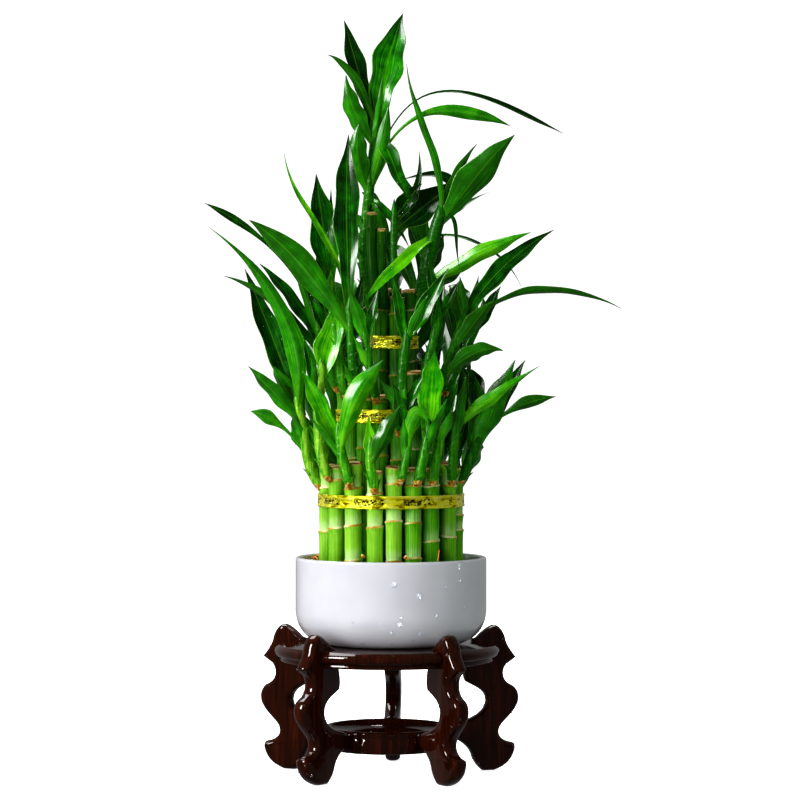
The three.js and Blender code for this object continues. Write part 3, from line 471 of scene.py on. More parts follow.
def standingCanes():
    # Every cane: tier, angle, radius, top, rings, and its upright touching the tier's circle from inside.
    draw = draws(canes["seed"])
    made = []

    def add(tier, number, angle, radius, top, rings, out=None):
        # One cane, out from the tier's middle so that it touches the circle, or as far as out says.
        x, reach = canes["tiers"][tier]
        away = reach - radius if out is None else out
        a = math.radians(angle)
        made.append({"name": f"cane_{tier}_{number:02d}", "tier": tier, "angle": angle, "radius": radius,
                     "top": top, "rings": rings,
                     "middle": np.array([x + away * math.sin(a), -away * math.cos(a)])})

    def drawn(least, spread):
        # A number from least up to spread more.
        return least + spread * next(draw)

    for tier in ("outer", "middle"):
        front, back = canes[tier], canes[tier + "Back"]
        for number, cane in enumerate(front, 1):
            add(tier, number, *cane)
        for i in range(1, back["count"] + 1):
            angle = lerp(back["from"], back["to"], i / (back["count"] + 1))
            shootRing = drawn(*back["ring"])
            low = drawn(*back["low"])
            add(tier, len(front) + i, angle, canes["radius"], drawn(*back["top"]), [low, shootRing])
    for number, cane in enumerate(canes["top"], 1):
        add("top", number, *cane)
    add("top", len(canes["top"]) + 1, *canes["centre"], out=0.0)
    return made


# Shoots in view. stem: points (x, z, depth); thick: its radius at foot and top. A leaf is (height of its
# root, width, facing, tip, arch or inner points, place of its belly, fall of its width, depth of its
# fold), with facing 0 flat to 1 full face.
shoots = {
    "cane_outer_01": {
        "stem": [(-57, 229, -6), (-62, 238, -7), (-67, 252, -8), (-69, 268, -9), (-72, 284, -10),
                 (-75, 298, -11)],
        "thick": (4.8, 3),
        "leaves": [
            (294, 17.5, 0.9, (-145.5, 437, -30), [(-69, 355, -22), (-98, 402, -26)], 0.3, 0.85),
            (292, 18, 1, (-117, 404, 4), 0.03, 0.44, 1.7, 0.65),
            (280, 12, 0.8, (-114.5, 326, -20), 0.06, 0.5),
            (256, 11, 0.85, (-112.6, 290, -16), 0.24, 0.7),
            (262, 6, 0.6, (-79.5, 289, -16), 0.02),
        ],
    },
    "cane_outer_02": {
        "stem": [(-50, 236, -34), (-54, 248, -35), (-57, 262, -35), (-58, 285, -35), (-57, 305, -34),
                 (-56, 322, -33)],
        "thick": (4.6, 3.6),
        "leaves": [
            (314, 21, 0.95, (-42, 378, -30), 0.03),
            (292, 5, 0.8, (-64, 333, -38), 0.02),
            (300, 9, 0.6, (-70, 350, -20), 0.05),
        ],
    },
    "cane_outer_03": {
        "stem": [(-33, 230, -49), (-36, 243, -51), (-40, 258, -51), (-42, 272, -50)],
        "thick": (5, 3.6),
        "leaves": [
            (255, 14, 0.85, (-71, 322, -46), 0.06, 0.46, 2.2),
            (250, 5, 0.7, (-65, 286, -56), 0.03),
            (262, 18, 0.85, (-6, 331, -58), [(-33, 304, -60)], 0.46, 2.2, 0.8),
        ],
    },
    "cane_outer_04": {
        "stem": [(-13, 226, -58), (-15, 238, -60), (-17, 250, -60), (-16.5, 260, -60)],
        "thick": (4.8, 3.2),
        "leaves": [
            (246, 9, 0.9, (-18, 286, -55), 0),
            (250, 14, 0.85, (8, 295, -63), 0.06, 0.44, 1.7, 0.75),
        ],
    },
    "cane_outer_05": {
        "stem": [(7, 233, -58), (10, 243, -60), (13, 256, -60), (14, 272, -58)],
        "thick": (4.2, 2.8),
        "leaves": [
            (252, 7, 0.8, (10, 285, -63), 0),
            (262, 14, 0.75, (31, 279, -65), [(18, 304, -63)]),
            (266, 10, 0.6, (2, 312, -54), 0.05),
        ],
    },
    "cane_outer_06": {
        "stem": [(21, 232, -55), (24, 243, -57), (27, 258, -57), (30, 274, -56)],
        "thick": (4.8, 3.4),
        "leaves": [
            (266, 18, 1, (35, 338, -50), 0.03, 0.5, 2.4, 0.2),
            (255, 8, 0.6, (45, 300, -61), 0.05),
        ],
    },
    "cane_outer_07": {
        "stem": [(33, 232, -46), (35, 245, -48), (38, 262, -48), (41, 282, -47)],
        "thick": (4.8, 3.2),
        "leaves": [
            (268, 7, 0.7, (55, 321, -44), 0.04),
            (262, 8, 0.6, (50, 292, -54), 0.04),
        ],
    },
    "cane_outer_08": {
        "stem": [(48, 232, -28), (49, 244, -29), (50.5, 262, -29), (53, 282, -28)],
        "thick": (4.8, 3.2),
        "leaves": [
            (280, 11, 0.9, (119, 326, -40), 0.05, 0.4, 0.8),
            (262, 9, 0.6, (60, 318, -38), 0.04),
        ],
    },
    "cane_outer_09": {
        "stem": [(54, 232, -4), (59, 241, -4), (65, 254, -4), (70, 268, -4), (76, 282, -4)],
        "thick": (5.4, 4.2),
        "leaves": [
            (254, 19, 0.88, (99.5, 331, -14), 0.05),
            (268, 15, 0.8, (107.6, 331, 2), 0.04),
            (270, 10, 0.9, (132, 301.5, -8), [(96, 299, -8)], 0.65),
            (276, 6, 0.6, (62, 318, 8), 0.03),
        ],
    },
    "cane_middle_14": {
        "stem": [(-43, 307, -4), (-49, 322, -6), (-55, 342, -6), (-59, 360, -6), (-62, 380, -6)],
        "thick": (4.6, 3),
        "leaves": [
            (340, 11, 0.65, (-105.5, 408, -6), 0.16),
            (328, 8, 0.8, (-134, 398, -20), 0.24),
            (342, 8, 0.8, (-78, 411, -10), 0.02),
            (370, 6, 0.8, (-149.5, 456.5, 6), [(-92, 432, 6)], 0.8),
        ],
    },
    "cane_middle_01": {
        "stem": [(-36, 300, -25), (-40, 318, -27), (-43, 340, -27), (-46, 365, -26), (-48, 392, -24)],
        "thick": (4.6, 3.2),
        "leaves": [
            (388, 22, 0.95, (-60, 480, -20), 0.03),
            (391, 7, 0.7, (-48, 468, -14), 0),
            (350, 12, 0.6, (-60, 430, -12), 0.04),
            (330, 10, 0.6, (-68, 388, -14), 0.08),
        ],
    },
    "cane_middle_02": {
        "stem": [(-26, 299, -36), (-29, 315, -39), (-31, 335, -40), (-32, 352, -40), (-33, 372, -39)],
        "thick": (4.6, 3.4),
        "leaves": [
            (352, 20, 0.9, (-114, 443, -44), 0.18, 0.46, 2.0),
            (358, 20, 0.97, (-34, 511, -30), [(-38, 450, -40)], 0.55),
            (366, 5, 0.6, (-85.5, 496, -24), [(-42, 438, -30), (-79, 450, -24)]),
            (306, 6, 0.7, (-37.5, 327, -47), 0.02),
            (345, 9, 0.5, (-22, 402, -30), 0.05),
        ],
    },
    "cane_middle_03": {
        "stem": [(-12, 298, -42), (-14, 312, -44), (-18, 332, -45), (-21, 350, -45)],
        "thick": (4, 2.8),
        "leaves": [
            (320, 6, 0.8, (-30, 350, -50), 0.02),
            (344, 10, 0.9, (-33, 388, -47), 0.02),
            (346, 9, 0.5, (-10, 388, -38), 0.03),
        ],
    },
    "cane_middle_04": {
        "stem": [(6.5, 272, -43), (8, 279, -49.5), (9, 294, -50.5), (8.5, 312, -50), (10, 330, -49.5),
                 (12.5, 347, -49)],
        "thick": (4, 3.6),
        "leaves": [
            (345, 13, 0.85, (46, 404, -44), 0.06),
            (343, 9, 0.8, (2, 396, -46), 0.03),
            (346, 8, 0.7, (30, 383, -55), 0.03),
            (290, 9, 0.7, (-9, 315, -53), 0.05),
            (290, 4.5, 0.7, (11.5, 311, -55), 0),
            (288, 9, 0.7, (28, 322, -49), 0.05),
        ],
    },
    "cane_middle_05": {
        "stem": [(23, 303, -37), (27, 318, -39), (31, 335, -40), (35, 352, -40), (38, 368, -38)],
        "thick": (4.4, 3),
        "leaves": [
            (362, 7, 0.7, (56, 396, -36), 0.03),
            (350, 10, 0.6, (43, 392, -30), 0.04),
            (366, 9, 0.5, (30, 412, -28), 0.03),
        ],
    },
    "cane_middle_06": {
        "stem": [(37, 302, -25), (42, 318, -27), (48, 335, -27), (54, 352, -26), (60, 370, -24)],
        "thick": (4.8, 3.2),
        "leaves": [
            (316, 14, 0.75, (90, 338, -38), [(66, 347, -36)]),
            (340, 14, 0.7, (81, 378, -34), 0.08),
            (358, 14.5, 0.92, (130.5, 435, -20), [(78, 406, -18)], 0.5, 1.8, 0.2),
            (366, 7, 0.7, (55, 398, -28), 0.03),
        ],
    },
    "cane_middle_07": {
        "stem": [(43, 304, -8), (50, 318, -9), (58, 335, -9), (66, 352, -8), (74, 370, -6)],
        "thick": (4.8, 3.2),
        "leaves": [
            (366, 9, 0.4, (184, 372, -12), [(90, 392, -8), (145, 394, -10)]),
            (352, 12, 0.6, (88, 390, 2), 0.06),
            (340, 10, 0.5, (70, 398, 6), 0.05),
        ],
    },
    "cane_top_01": {
        "stubs": [
            ([(-9.5, 372, -14), (-13, 392, -16), (-15.2, 420, -16), (-15.5, 449, -16)], 4.2),
            ([(-5, 370, -14), (-6.5, 392, -17), (-7.5, 415, -18.5), (-7.5, 436, -18.5)], 3.7),
        ],
    },
    "cane_top_02": {
        "stem": [(5, 367, -18), (3, 392, -22), (2, 420, -22), (2.5, 448, -20)],
        "thick": (3.4, 2.6),
        "leaves": [
            (432, 24, 0.85, (54, 474, 2), 0.06),
            (440, 14, 0.7, (25, 472, -8), 0.2),
            (445, 7, 0.8, (22.5, 498, -6), [(26, 456, -8)]),
        ],
    },
    "cane_top_03": {
        "stem": [(20, 371, -5), (26, 391, -6), (31, 413, -8), (36, 436, -9), (40, 448, -9)],
        "thick": (6, 5.2),
        "leaves": [
            (436, 24, 0.85, (99, 511, -18), 0.1),
            (446, 6, 0.8, (12.5, 568, -20), [(46, 490, -22), (16, 525, -24)]),
            (447, 7, 0.7, (69, 504, -12), [(48, 480, -12)]),
            (442, 9, 0.6, (8, 475, 0), [(62, 484, 0), (40, 484, -2)]),
            (430, 10, 0.8, (-24, 375, -34), [(9, 415, -36)], 0.5),
            (440, 4, 0.3, (55, 403, -22), [(56, 462, -18), (50, 425, -20)]),
            (430, 5, 0.3, (104, 390, -16), [(62, 434, -14), (92, 418, -14)]),
            (388, 13, 0.85, (112, 433, -30), 0.08, 0.5, 1.7, 0.75),
            (438, 5, 0.5, (78, 465, 4), 0.1),
        ],
    },
    "cane_top_06": {
        "stem": [(-15, 370, 2), (-20, 392, -1), (-21.5, 420, -2), (-19.5, 448, -3), (-17, 470, -6),
                 (-14.5, 495, -8), (-12, 520, -8)],
        "thick": (5.2, 3.4),
        "leaves": [
            (505, 25, 1, (9.5, 608, 0), [(-8, 560, -6)], 0.6),
            (512, 14, 0.95, (-37.5, 602.5, -4), 0.02, 0.6),
            (518, 7, 0.8, (-51, 575, -12), [(-30, 570, -12)]),
            (504, 15, 0.95, (-36, 559, -17), [(-34, 528, -17)], 0.45),
            (490, 5, 0.8, (-6, 562, -18), 0),
            (464, 17, 0.95, (-25, 521, -19), [(-32, 494, -17)], 0.5),
            (466, 12, 0.9, (-2, 535, -17), [(-5, 500, -17)], 0.5),
            (462, 11, 0.7, (95.5, 518, -18), [(-2, 534, -16), (40, 543, -18)], 0.78),
            (474, 7, 0.6, (138, 512, 2), [(12, 575, 2), (60, 552, 2)], 0.85),
            (500, 12, 0.85, (20, 455, -22), [(-2, 520, -21), (4, 468, -21)]),
            (458, 7, 0.7, (11, 420, -24), [(-8, 458, -22)]),
        ],
    },
}

# Shoots out of view grow by rule: how high they rise, how far they lean, the leaves' length and limit.
wild = {
    "outer": {"rise": (42, 66), "lean": (9, 20), "length": (58, 92), "highest": 335},
    "middle": {"rise": (45, 72), "lean": (10, 22), "length": (62, 98), "highest": 398},
    "top": {"rise": (58, 74), "lean": (16, 22), "length": (60, 92), "highest": 480},
    # how much of the lean and of the rise the stem has at its three points
    "leanShares": (0, 0.45, 1), "riseShares": (0, 0.35, 1),
    "leaves": 6, "thick": (4.6, 2.6),
    # a leaf: its place up the stem, its turn and rise in degrees, its arch, width and facing, and the
    # share of its distance to the side by which its tip is drawn in
    "place": (0.42, 0.97), "turn": (12, 100), "steep": (30, 70), "unsteady": 14,
    "arch": (0.1, 0.32), "width": (9, 16), "facing": (0.2, 0.7), "drawnIn": 0.12,
    # height, leftmost and rightmost leaf tip of the shoots behind
    "outline": [
        (225, -58, 56), (250, -66, 64), (280, -76, 76), (310, -80, 80), (340, -84, 72),
        (370, -80, 70), (400, -70, 56), (430, -50, 46), (460, -38, 40), (500, -30, 30),
    ],
    "swings": [0, 5, -5, 10, -10, 15, -15, 20, -20, 26, -26, 33, -33, 40, -40], "near": 0.3,
    "seed": 8,
}
leafShape = {
    # rows and columns, how the rows gather, thickness, and the least half width
    "rows": 26, "columns": 16, "rowPower": 1.05, "thick": 0.7, "least": 0.18,
    # the width where it clasps the stem, where it is widest, and how it falls and thins towards the tip
    "rootShare": 0.28, "clasp": 6.0, "claspMost": 0.6, "belly": 0.44, "fall": 1.7, "drip": 0.35,
    # a leaf with its belly beyond this place is stalked: its width at the root and how late it widens
    "stalkFrom": 0.6, "stalk": 0.16, "stalkPower": 2.5,
    # the fold, how much deeper it is at the foot, and the length of the foot
    "fold": 0.42, "footFold": 0.5, "foot": 0.16, "twist": 0.5, "twistBelow": 0.9, "droop": 14,
    # how far the margins wave up and down, and in and out, and how many waves rock them against each other
    # or lift them together
    "lift": 0.1, "wavy": 0.12, "rock": (1.2, 2.4), "flap": (0.8, 2.0),
    # dew lies on listed leaves wider than this, between the midrib and the margins
    "dewFrom": 9, "dewColumns": (2, 3, 5, 6, 10, 11, 13, 14),
}
stemShape = {
    "steps": 1200, "columns": 16,
    # how far under its first point a stem starts inside the cane
    "inside": 1.5,
    # heights of the foot's rows over the first point, and how far in to the cane the lowest reach
    "foot": (-4.6, -4.2, -3.2, -1.8, -0.4, 1.2), "toCane": 0.75,
    "spear": 11.0, "spearRows": (0.2, 0.4, 0.6, 0.8, 0.93, 1.0), "spearPower": 1.4,
    # where the corky crust ends
    "crust": (-1.8, 6),
}


def seen(points):
    # With k = 1 + y / distance, what looks to be at x from the eye stands at eye + (x - eye) k, depth y.
    x, z, y = np.atleast_2d(np.array(points, float)).T
    k = 1 + y / eye["distance"]
    return np.stack([eye["x"] + (x - eye["x"]) * k, y, eye["height"] + (z - eye["height"]) * k], 1)


def throughPoints(points, t):
    # Catmull-Rom with tension 0.5: a + b w + (3 (c - a) - 2 b - d) w^2 + (2 (a - c) + b + d) w^3 from a to
    # c, where b and d are half the chords over each end.
    p = np.vstack([2 * points[0] - points[1], points, 2 * points[-1] - points[-2]])
    place = np.clip(t, 0, 1) * (len(points) - 1)
    i = np.minimum(place.astype(int), len(points) - 2)
    w = (place - i)[:, None]
    a, c = p[i + 1], p[i + 2]
    b, d = (c - p[i]) / 2, (p[i + 3] - a) / 2
    return a + b * w + (3 * (c - a) - 2 * b - d) * w ** 2 + (2 * (a - c) + b + d) * w ** 3


def stemKnots(cane, points):
    # The stem's points after one inside the cane.
    return np.vstack([[*cane["middle"], points[0][2] - stemShape["inside"]], points])


def stemLine(cane, points):
    # The stem's centre line in even steps, from inside the cane out through its points.
    return throughPoints(stemKnots(cane, points), np.linspace(0, 1, stemShape["steps"]))


def atHeight(line, z):
    # The line's point at a height, and straight up over its end.
    return np.stack([np.interp(z, line[:, 2], line[:, 0]), np.interp(z, line[:, 2], line[:, 1]), z], -1)


def bowed(root, end, arch):
    # The middle of root and end, raised by arch times their distance.
    return (root + end) / 2 + np.array([0, 0, arch * np.linalg.norm(end - root)])


def listedLeaf(line, rootHeight, width, facing, tip, shape, belly=leafShape["belly"], fall=leafShape["fall"],
               fold=leafShape["fold"]):
    # A row of the list as a leaf: its root on the stem's line, and the points its midrib is drawn to.
    root = atHeight(line, np.array(float(rootHeight)))
    end = seen(tip)[0]
    inner = seen(shape) if isinstance(shape, list) else [bowed(root, end, shape)]
    return {"root": root, "points": np.vstack([*inner, end]), "width": width, "facing": facing,
            "belly": belly, "fall": fall, "fold": fold}


def wildLeaf(cane, line, share, side, rule, draw):
    # Leaves the stem to one side, and rises more the higher it grows, within the plant's outline.
    root = throughPoints(line, np.array([lerp(*wild["place"], share)]))[0]
    way = math.radians(cane["angle"] + side * lerp(*wild["turn"], next(draw)))
    rise = math.radians(lerp(*wild["steep"], share) + wild["unsteady"] * (next(draw) - 0.5))
    length = lerp(*rule["length"], next(draw))
    arch, width, facing = (lerp(*wild[key], next(draw)) for key in ("arch", "width", "facing"))
    height, left, right = np.array(wild["outline"], float).T
    z = min(root[2] + length * math.sin(rise), rule["highest"])
    x = root[0] + length * math.cos(rise) * math.sin(way)
    end = np.array([np.clip(x, np.interp(z, height, left), np.interp(z, height, right)),
                    root[1] - length * math.cos(rise) * math.cos(way), z])
    return {"root": root, "points": np.vstack([bowed(root, end, arch), end]), "width": width,
            "facing": facing, **{key: leafShape[key] for key in ("belly", "fall", "fold")}}


def growthOf(cane, draw):
    # What grows on a cane: its stem's line, thickness and leaves, or its cut stubs.
    listed = shoots.get(cane["name"])
    if listed and "stubs" in listed:
        return {"stubs": [(stemLine(cane, seen(points)), radius) for points, radius in listed["stubs"]]}
    if listed:
        line = stemLine(cane, seen(listed["stem"]))
        return {"line": line, "start": seen(listed["stem"])[0], "thick": listed["thick"],
                "leaves": [listedLeaf(line, *row) for row in listed["leaves"]]}
    if cane["name"] == canes["centreName"]:
        return {}
    rule = wild[cane["tier"]]
    a = math.radians(cane["angle"])
    out = np.array([math.sin(a), -math.cos(a), 0])
    rise = lerp(*rule["rise"], next(draw))
    lean = lerp(*rule["lean"], next(draw))
    foot = np.array([*cane["middle"], cane["rings"][-1]])
    away = cane["radius"] + lean * np.array(wild["leanShares"])
    points = foot + np.outer(away, out) + np.outer(rise * np.array(wild["riseShares"]), [0, 0, 1])
    knots = stemKnots(cane, points)
    count = wild["leaves"]
    leaves = [wildLeaf(cane, knots, i / (count - 1), 1 if i % 2 else -1, rule, draw) for i in range(count)]
    return {"line": stemLine(cane, points), "start": points[0], "thick": wild["thick"], "leaves": leaves}


def swungPoints(leaf, degrees):
    # The leaf's points turned about the upright through its root.
    a = math.radians(degrees)
    turn = np.array([[math.cos(a), -math.sin(a), 0], [math.sin(a), math.cos(a), 0], [0, 0, 1]])
    return (leaf["points"] - leaf["root"]) @ turn.T + leaf["root"]


def asGrown(leaf, corners):
    # The leaf's points at the swing whose tip is a corner of the node's solid, or None if left out.
    swung = [swungPoints(leaf, degrees) for degrees in wild["swings"]]
    miss = [np.linalg.norm(corners - points[-1], axis=1).min() for points in swung]
    best = int(np.argmin(miss))
    return swung[best] if miss[best] < wild["near"] else None


def bladeShare(t, width, belly, fall):
    # Width as a share of the widest: from where it clasps the stem up to 1 at the belly, then
    # 1 - u^fall with u = (t - belly) / (1 - belly), and narrower still at the drawn-out tip.
    if belly > leafShape["stalkFrom"]:
        power = leafShape["stalkPower"]
        clasp = leafShape["stalk"]
    else:
        power = 1
        clasp = min(max(leafShape["clasp"] / width, leafShape["rootShare"]), leafShape["claspMost"])
    grow = np.minimum(t / belly, 1) ** power
    rise = lerp(clasp, 1, grow * grow * (3 - 2 * grow))
    u = np.maximum((t - belly) / (1 - belly), 0)
    return rise * (1 - u ** fall) * (1 - leafShape["drip"] * smoothStep(u, 0.45, 0.95))


def curveAt(p, t):
    # (1 - t)^2 a + 2 t (1 - t) b + t^2 c through three control points, and
    # (1 - t)^3 a + 3 t (1 - t)^2 b + 3 t^2 (1 - t) c + t^3 d through four.
    if len(p) == 3:
        return p[0] * (1 - t) ** 2 + 2 * p[1] * t * (1 - t) + p[2] * t ** 2
    near = p[0] * (1 - t) ** 3 + 3 * p[1] * t * (1 - t) ** 2
    return near + 3 * p[2] * t ** 2 * (1 - t) + p[3] * t ** 3


def bezier(root, points, t):
    # The curve's points and unit tangents: its way is the curve, one degree lower, of the steps between
    # its control points.
    p = np.array([root, *points])
    steps = (len(p) - 1) * np.diff(p, axis=0)
    t = t[:, None]
    way = steps[0] * (1 - t) + steps[1] * t if len(steps) == 2 else curveAt(steps, t)
    return curveAt(p, t), unit(way)


def leafSurface(leaf, points, tone, wave):
    # P(t, b) = midrib(t) + s h(t) side(t) + (bow(t, s) + e(t, s) sin b) up(t), with s = cos b across the
    # blade, h its half width, bow the V fold with waved margins, and e its half thickness.
    t = np.linspace(0, 1, leafShape["rows"]) ** leafShape["rowPower"]
    centre, tangent = bezier(leaf["root"], points, t)
    root, end = leaf["root"], points[-1]
    across = unit(np.array([root[1] - end[1], end[0] - root[0], 0]))
    middle = bezier(root, points, np.array([0.5]))[1][0]
    atMiddle = np.cross(across, middle)[1]
    turn = leaf["facing"] * math.atan(-across[1] / (atMiddle if abs(atMiddle) > 1e-6 else 1e-6))
    roll = (turn + leafShape["twist"] * (t - 0.5) * (leaf["facing"] < leafShape["twistBelow"]))[:, None]
    side = np.cos(roll) * across + np.sin(roll) * np.cross(across, tangent)
    up = unit(np.cross(tangent, side))
    share = bladeShare(t, leaf["width"], leaf["belly"], leaf["fall"])
    half = (0.5 * leaf["width"] * share + leafShape["least"])[:, None]
    b = around(leafShape["columns"])
    s = np.cos(b)
    fold = leaf["fold"] + leafShape["footFold"] * (1 - smoothStep(t, 0.0, leafShape["foot"]))
    bow = -fold[:, None] * half * (1 - np.abs(s) ** 1.2)
    rock, rockFrom, flap, flapFrom = wave
    t = t[:, None]
    ripple = np.sin(tau * rock * t + rockFrom) * np.sign(s) + np.sin(tau * flap * t + flapFrom)
    bow = bow + leafShape["lift"] * half * ripple * s ** 2 * 4 * t * (1 - t)
    edgeWave = 1 + leafShape["wavy"] * np.sin(tau * flap * 1.7 * t + rockFrom + 2 * np.sign(s))
    thick = 0.5 * leafShape["thick"] * (1 - 0.5 * t) * (0.35 + 0.65 * (1 - s ** 2))
    lift = bow + thick * np.sin(b)
    wide = half * s * edgeWave
    grid = centre[:, None] + wide[..., None] * side[:, None] + lift[..., None] * up[:, None]
    # The side that looks up is the upper face.
    under = (np.sin(b) < 0) if up[:, 2].mean() > 0 else (np.sin(b) > 0)
    marks = {"along": t, "across": s[None], "tone": tone, "under": under[None].astype(float)}
    return skin(grid, marks, 2)


sheath = {
    # distance of the edges and its spread, height of the first, and reach to a leaf's root
    "apart": 6.4, "uneven": 2.4, "first": 5.5, "near": 3.8,
    # spread of the bare ones' directions, tilt and lip of an edge, and the stem's share at its foot
    "turned": 1.2, "tilt": 2.2, "lip": 0.14, "foot": 0.7,
    # rows at an edge: offset from it, share of its tilt, share of the lip
    "rows": [(-2.4, 0.5, 0.5), (-0.7, 0.9, 1.0), (-0.12, 1.0, 1.0), (0.06, 1.0, 0.0), (1.2, 0.5, 0.0)],
    # the dry tip of a sheath that has no leaf: where it starts and ends, how far out, half its width
    "tip": {"from": -2.5, "to": 3.8, "out": 2.5, "half": 0.7, "thick": 0.24, "off": 0.1},
}


def sheathEdges(growth, draw):
    # The sheaths' edges up the stem as (height, direction, bare): one at each leaf's root, turned to the
    # leaf, and bare ones between, turned to the right and left by turns.
    leaves = sorted((leaf["root"][2], math.atan2(*(leaf["points"][-1] - leaf["root"])[1::-1]))
                    for leaf in growth["leaves"])
    edges, z, side = [], growth["start"][2] + sheath["first"], 1
    while z < growth["line"][-1, 2] + 1:
        near = [row for row in leaves if abs(row[0] - z) < sheath["near"]]
        if near:
            z = max(near[0][0], z)
            edges.append((z, near[0][1], False))
        else:
            edges.append((z, (1 - side) * tau / 4 + sheath["turned"] * (next(draw) - 0.5), True))
            side = -side
        z += sheath["apart"] + sheath["uneven"] * (next(draw) - 0.5)
    return edges


def stemRadius(growth, z):
    # Thick at the foot and thinner at the top, but drawn in where it leaves the cane.
    line, (foot, top) = growth["line"], growth["thick"]
    t = np.interp(z, line[:, 2], np.linspace(0, 1, len(line)))
    return lerp(foot, top, t) * lerp(sheath["foot"], 1, smoothStep(z - growth["start"][2], -3, 8))


def stemSurface(cane, growth, edges, tone):
    # P(z, a) = line(z) + r(z) (cos a, sin a) at z = z_j + g_j cos(a - direction_j): each sheath's edge is
    # a tilted ring where r steps in. Below the first point the stem rounds off into the cane, and it ends
    # in a spear, where r falls as 1 - u^1.4.
    line, start = growth["line"], growth["start"]
    a = around(stemShape["columns"])
    endZ = line[-1, 2]
    levels = [(start[2] + up, 0.0, 0.0, 0.0) for up in stemShape["foot"]]
    for height, facing, _ in edges:
        levels += [(height + up, facing, share * sheath["tilt"], lip * sheath["lip"])
                   for up, share, lip in sheath["rows"]]
    last = levels[-1][0]
    top = max(endZ, last) + stemShape["spear"]
    levels += [(lerp(last, top, share), 0.0, 0.0, 0.0) for share in stemShape["spearRows"]]
    rowZ, facing, tilt, step = np.array(levels).T
    z = rowZ[:, None] + tilt[:, None] * np.cos(a - facing[:, None])
    belowStart = np.clip((start[2] - z) / -stemShape["foot"][0], 0, 1)
    toCane = stemShape["toCane"] * belowStart ** 2
    flat = np.where((z < start[2])[..., None], lerp(start[:2], cane["middle"], toCane[..., None]),
                    atHeight(line, z)[..., :2])
    overEnd = np.clip((z - endZ) / (top - endZ), 0, 1)
    rounded = np.sqrt(np.clip(1 - belowStart ** 2, 0.02, 1))
    pointed = np.clip(1 - overEnd ** stemShape["spearPower"], 0.02, 1)
    radius = (stemRadius(growth, z) + step[:, None]) * rounded * pointed
    ring = np.stack([np.cos(a), np.sin(a)], -1)
    grid = np.concatenate([flat + radius[..., None] * ring, z[..., None]], -1)
    above = rowZ[:, None] - np.array([edge[0] for edge in edges])
    nearest = above[np.arange(len(rowZ)), np.abs(above).argmin(1)]
    crust = 1 - smoothStep(z - start[2], *stemShape["crust"])
    return skin(grid, {"edge": np.clip(nearest, -4, 4)[:, None], "crust": crust, "tone": tone}, 1)


def sheathTip(growth, height, facing, tone):
    # P(t, b) = line(z) + (r + out t^2 + e sin b) towards facing + half (1 - t^2) cos b, at z from low to
    # high: a thin pointed scale that clasps the stem and stands off at its tip.
    tip = sheath["tip"]
    t, b = np.linspace(0, 1, 6)[:, None], around(8)[None]
    z = height + lerp(tip["from"], tip["to"], t) + 0 * b
    far = stemRadius(growth, z) + tip["off"] + tip["out"] * t ** 2 + tip["thick"] * np.sin(b)
    a = facing + tip["half"] * (1 - t ** 2 + 0.03) * np.cos(b)
    grid = atHeight(growth["line"], z)
    grid[..., 0] += far * np.cos(a)
    grid[..., 1] += far * np.sin(a)
    return skin(grid[:, ::-1], {"edge": 3.0, "crust": 0.0, "tone": tone - 0.1 * t ** 2}, 1)


nodeProfile = {
    # height from the node's scar line, and how far the skin stands out there
    "height": [-9, -4, -1.8, -1.1, -0.6, 0.1, 0.6, 1.2, 2.6, 5, 9, 13],
    "stand": [0, 0.12, 0.38, 0.7, 0.8, 0.7, 0.12, -0.18, -0.26, -0.16, -0.05, 0],
    "tilt": 0.8,
    # the scar's middle and half its height, and where its powder starts and fades
    "scar": (-0.2, 1.6), "dust": (0.2, 0.6), "fade": (1, 12),
    # a stub's node: how far under its top, and its share of a cane's swelling
    "stubNode": 12, "stubStand": 0.7, "stubColumns": 16,
}
cutTops = {
    # height under the top, share of the radius, mark of the cut
    "stub": [(2.6, 1, 0.25), (1.6, 1, 0.42), (0.5, 1, 0.6), (0.12, 0.98, 0.8), (0, 0.92, 1), (0.1, 0.8, 1),
             (0.6, 0.5, 1), (0.8, 0.1, 1)],
    "cane": [(4.2, 1, 0), (2.9, 1, 0.25), (1.8, 1.01, 0.42), (0.7, 1.01, 0.6), (0.15, 0.985, 0.8),
             (0, 0.94, 1), (0.15, 0.86, 1), (0.9, 0.62, 1), (1.1, 0.1, 1)],
    # how much the tops slope, and the mark that the dried side of the cut has
    "stubSlope": 0.7, "caneSlope": 1.1, "dried": -0.35,
}


def nodeMarks(far, dusty):
    # From the height over the nearest node: scar is 1 - |far + 0.2| / 1.6, and powder rises over it in
    # 0.4 mm and fades up to 12 mm.
    middle, half = nodeProfile["scar"]
    scar = np.clip(1 - np.abs(far - middle) / half, 0, 1)
    powder = dusty * smoothStep(far, *nodeProfile["dust"]) * (1 - smoothStep(far, *nodeProfile["fade"]))
    return {"scar": scar[:, None], "powder": powder[:, None]}


def cutMarks(head, rows, shares):
    # The marks of a cut top over plain rows: the cut, and the core, 1 - r / radius where it is cut.
    cut = np.concatenate([np.zeros(rows), head[:, 2]])
    core = np.where(cut > 0.7, 1 - shares, cutTops["dried"])
    return {"cut": cut[:, None], "core": core[:, None]}


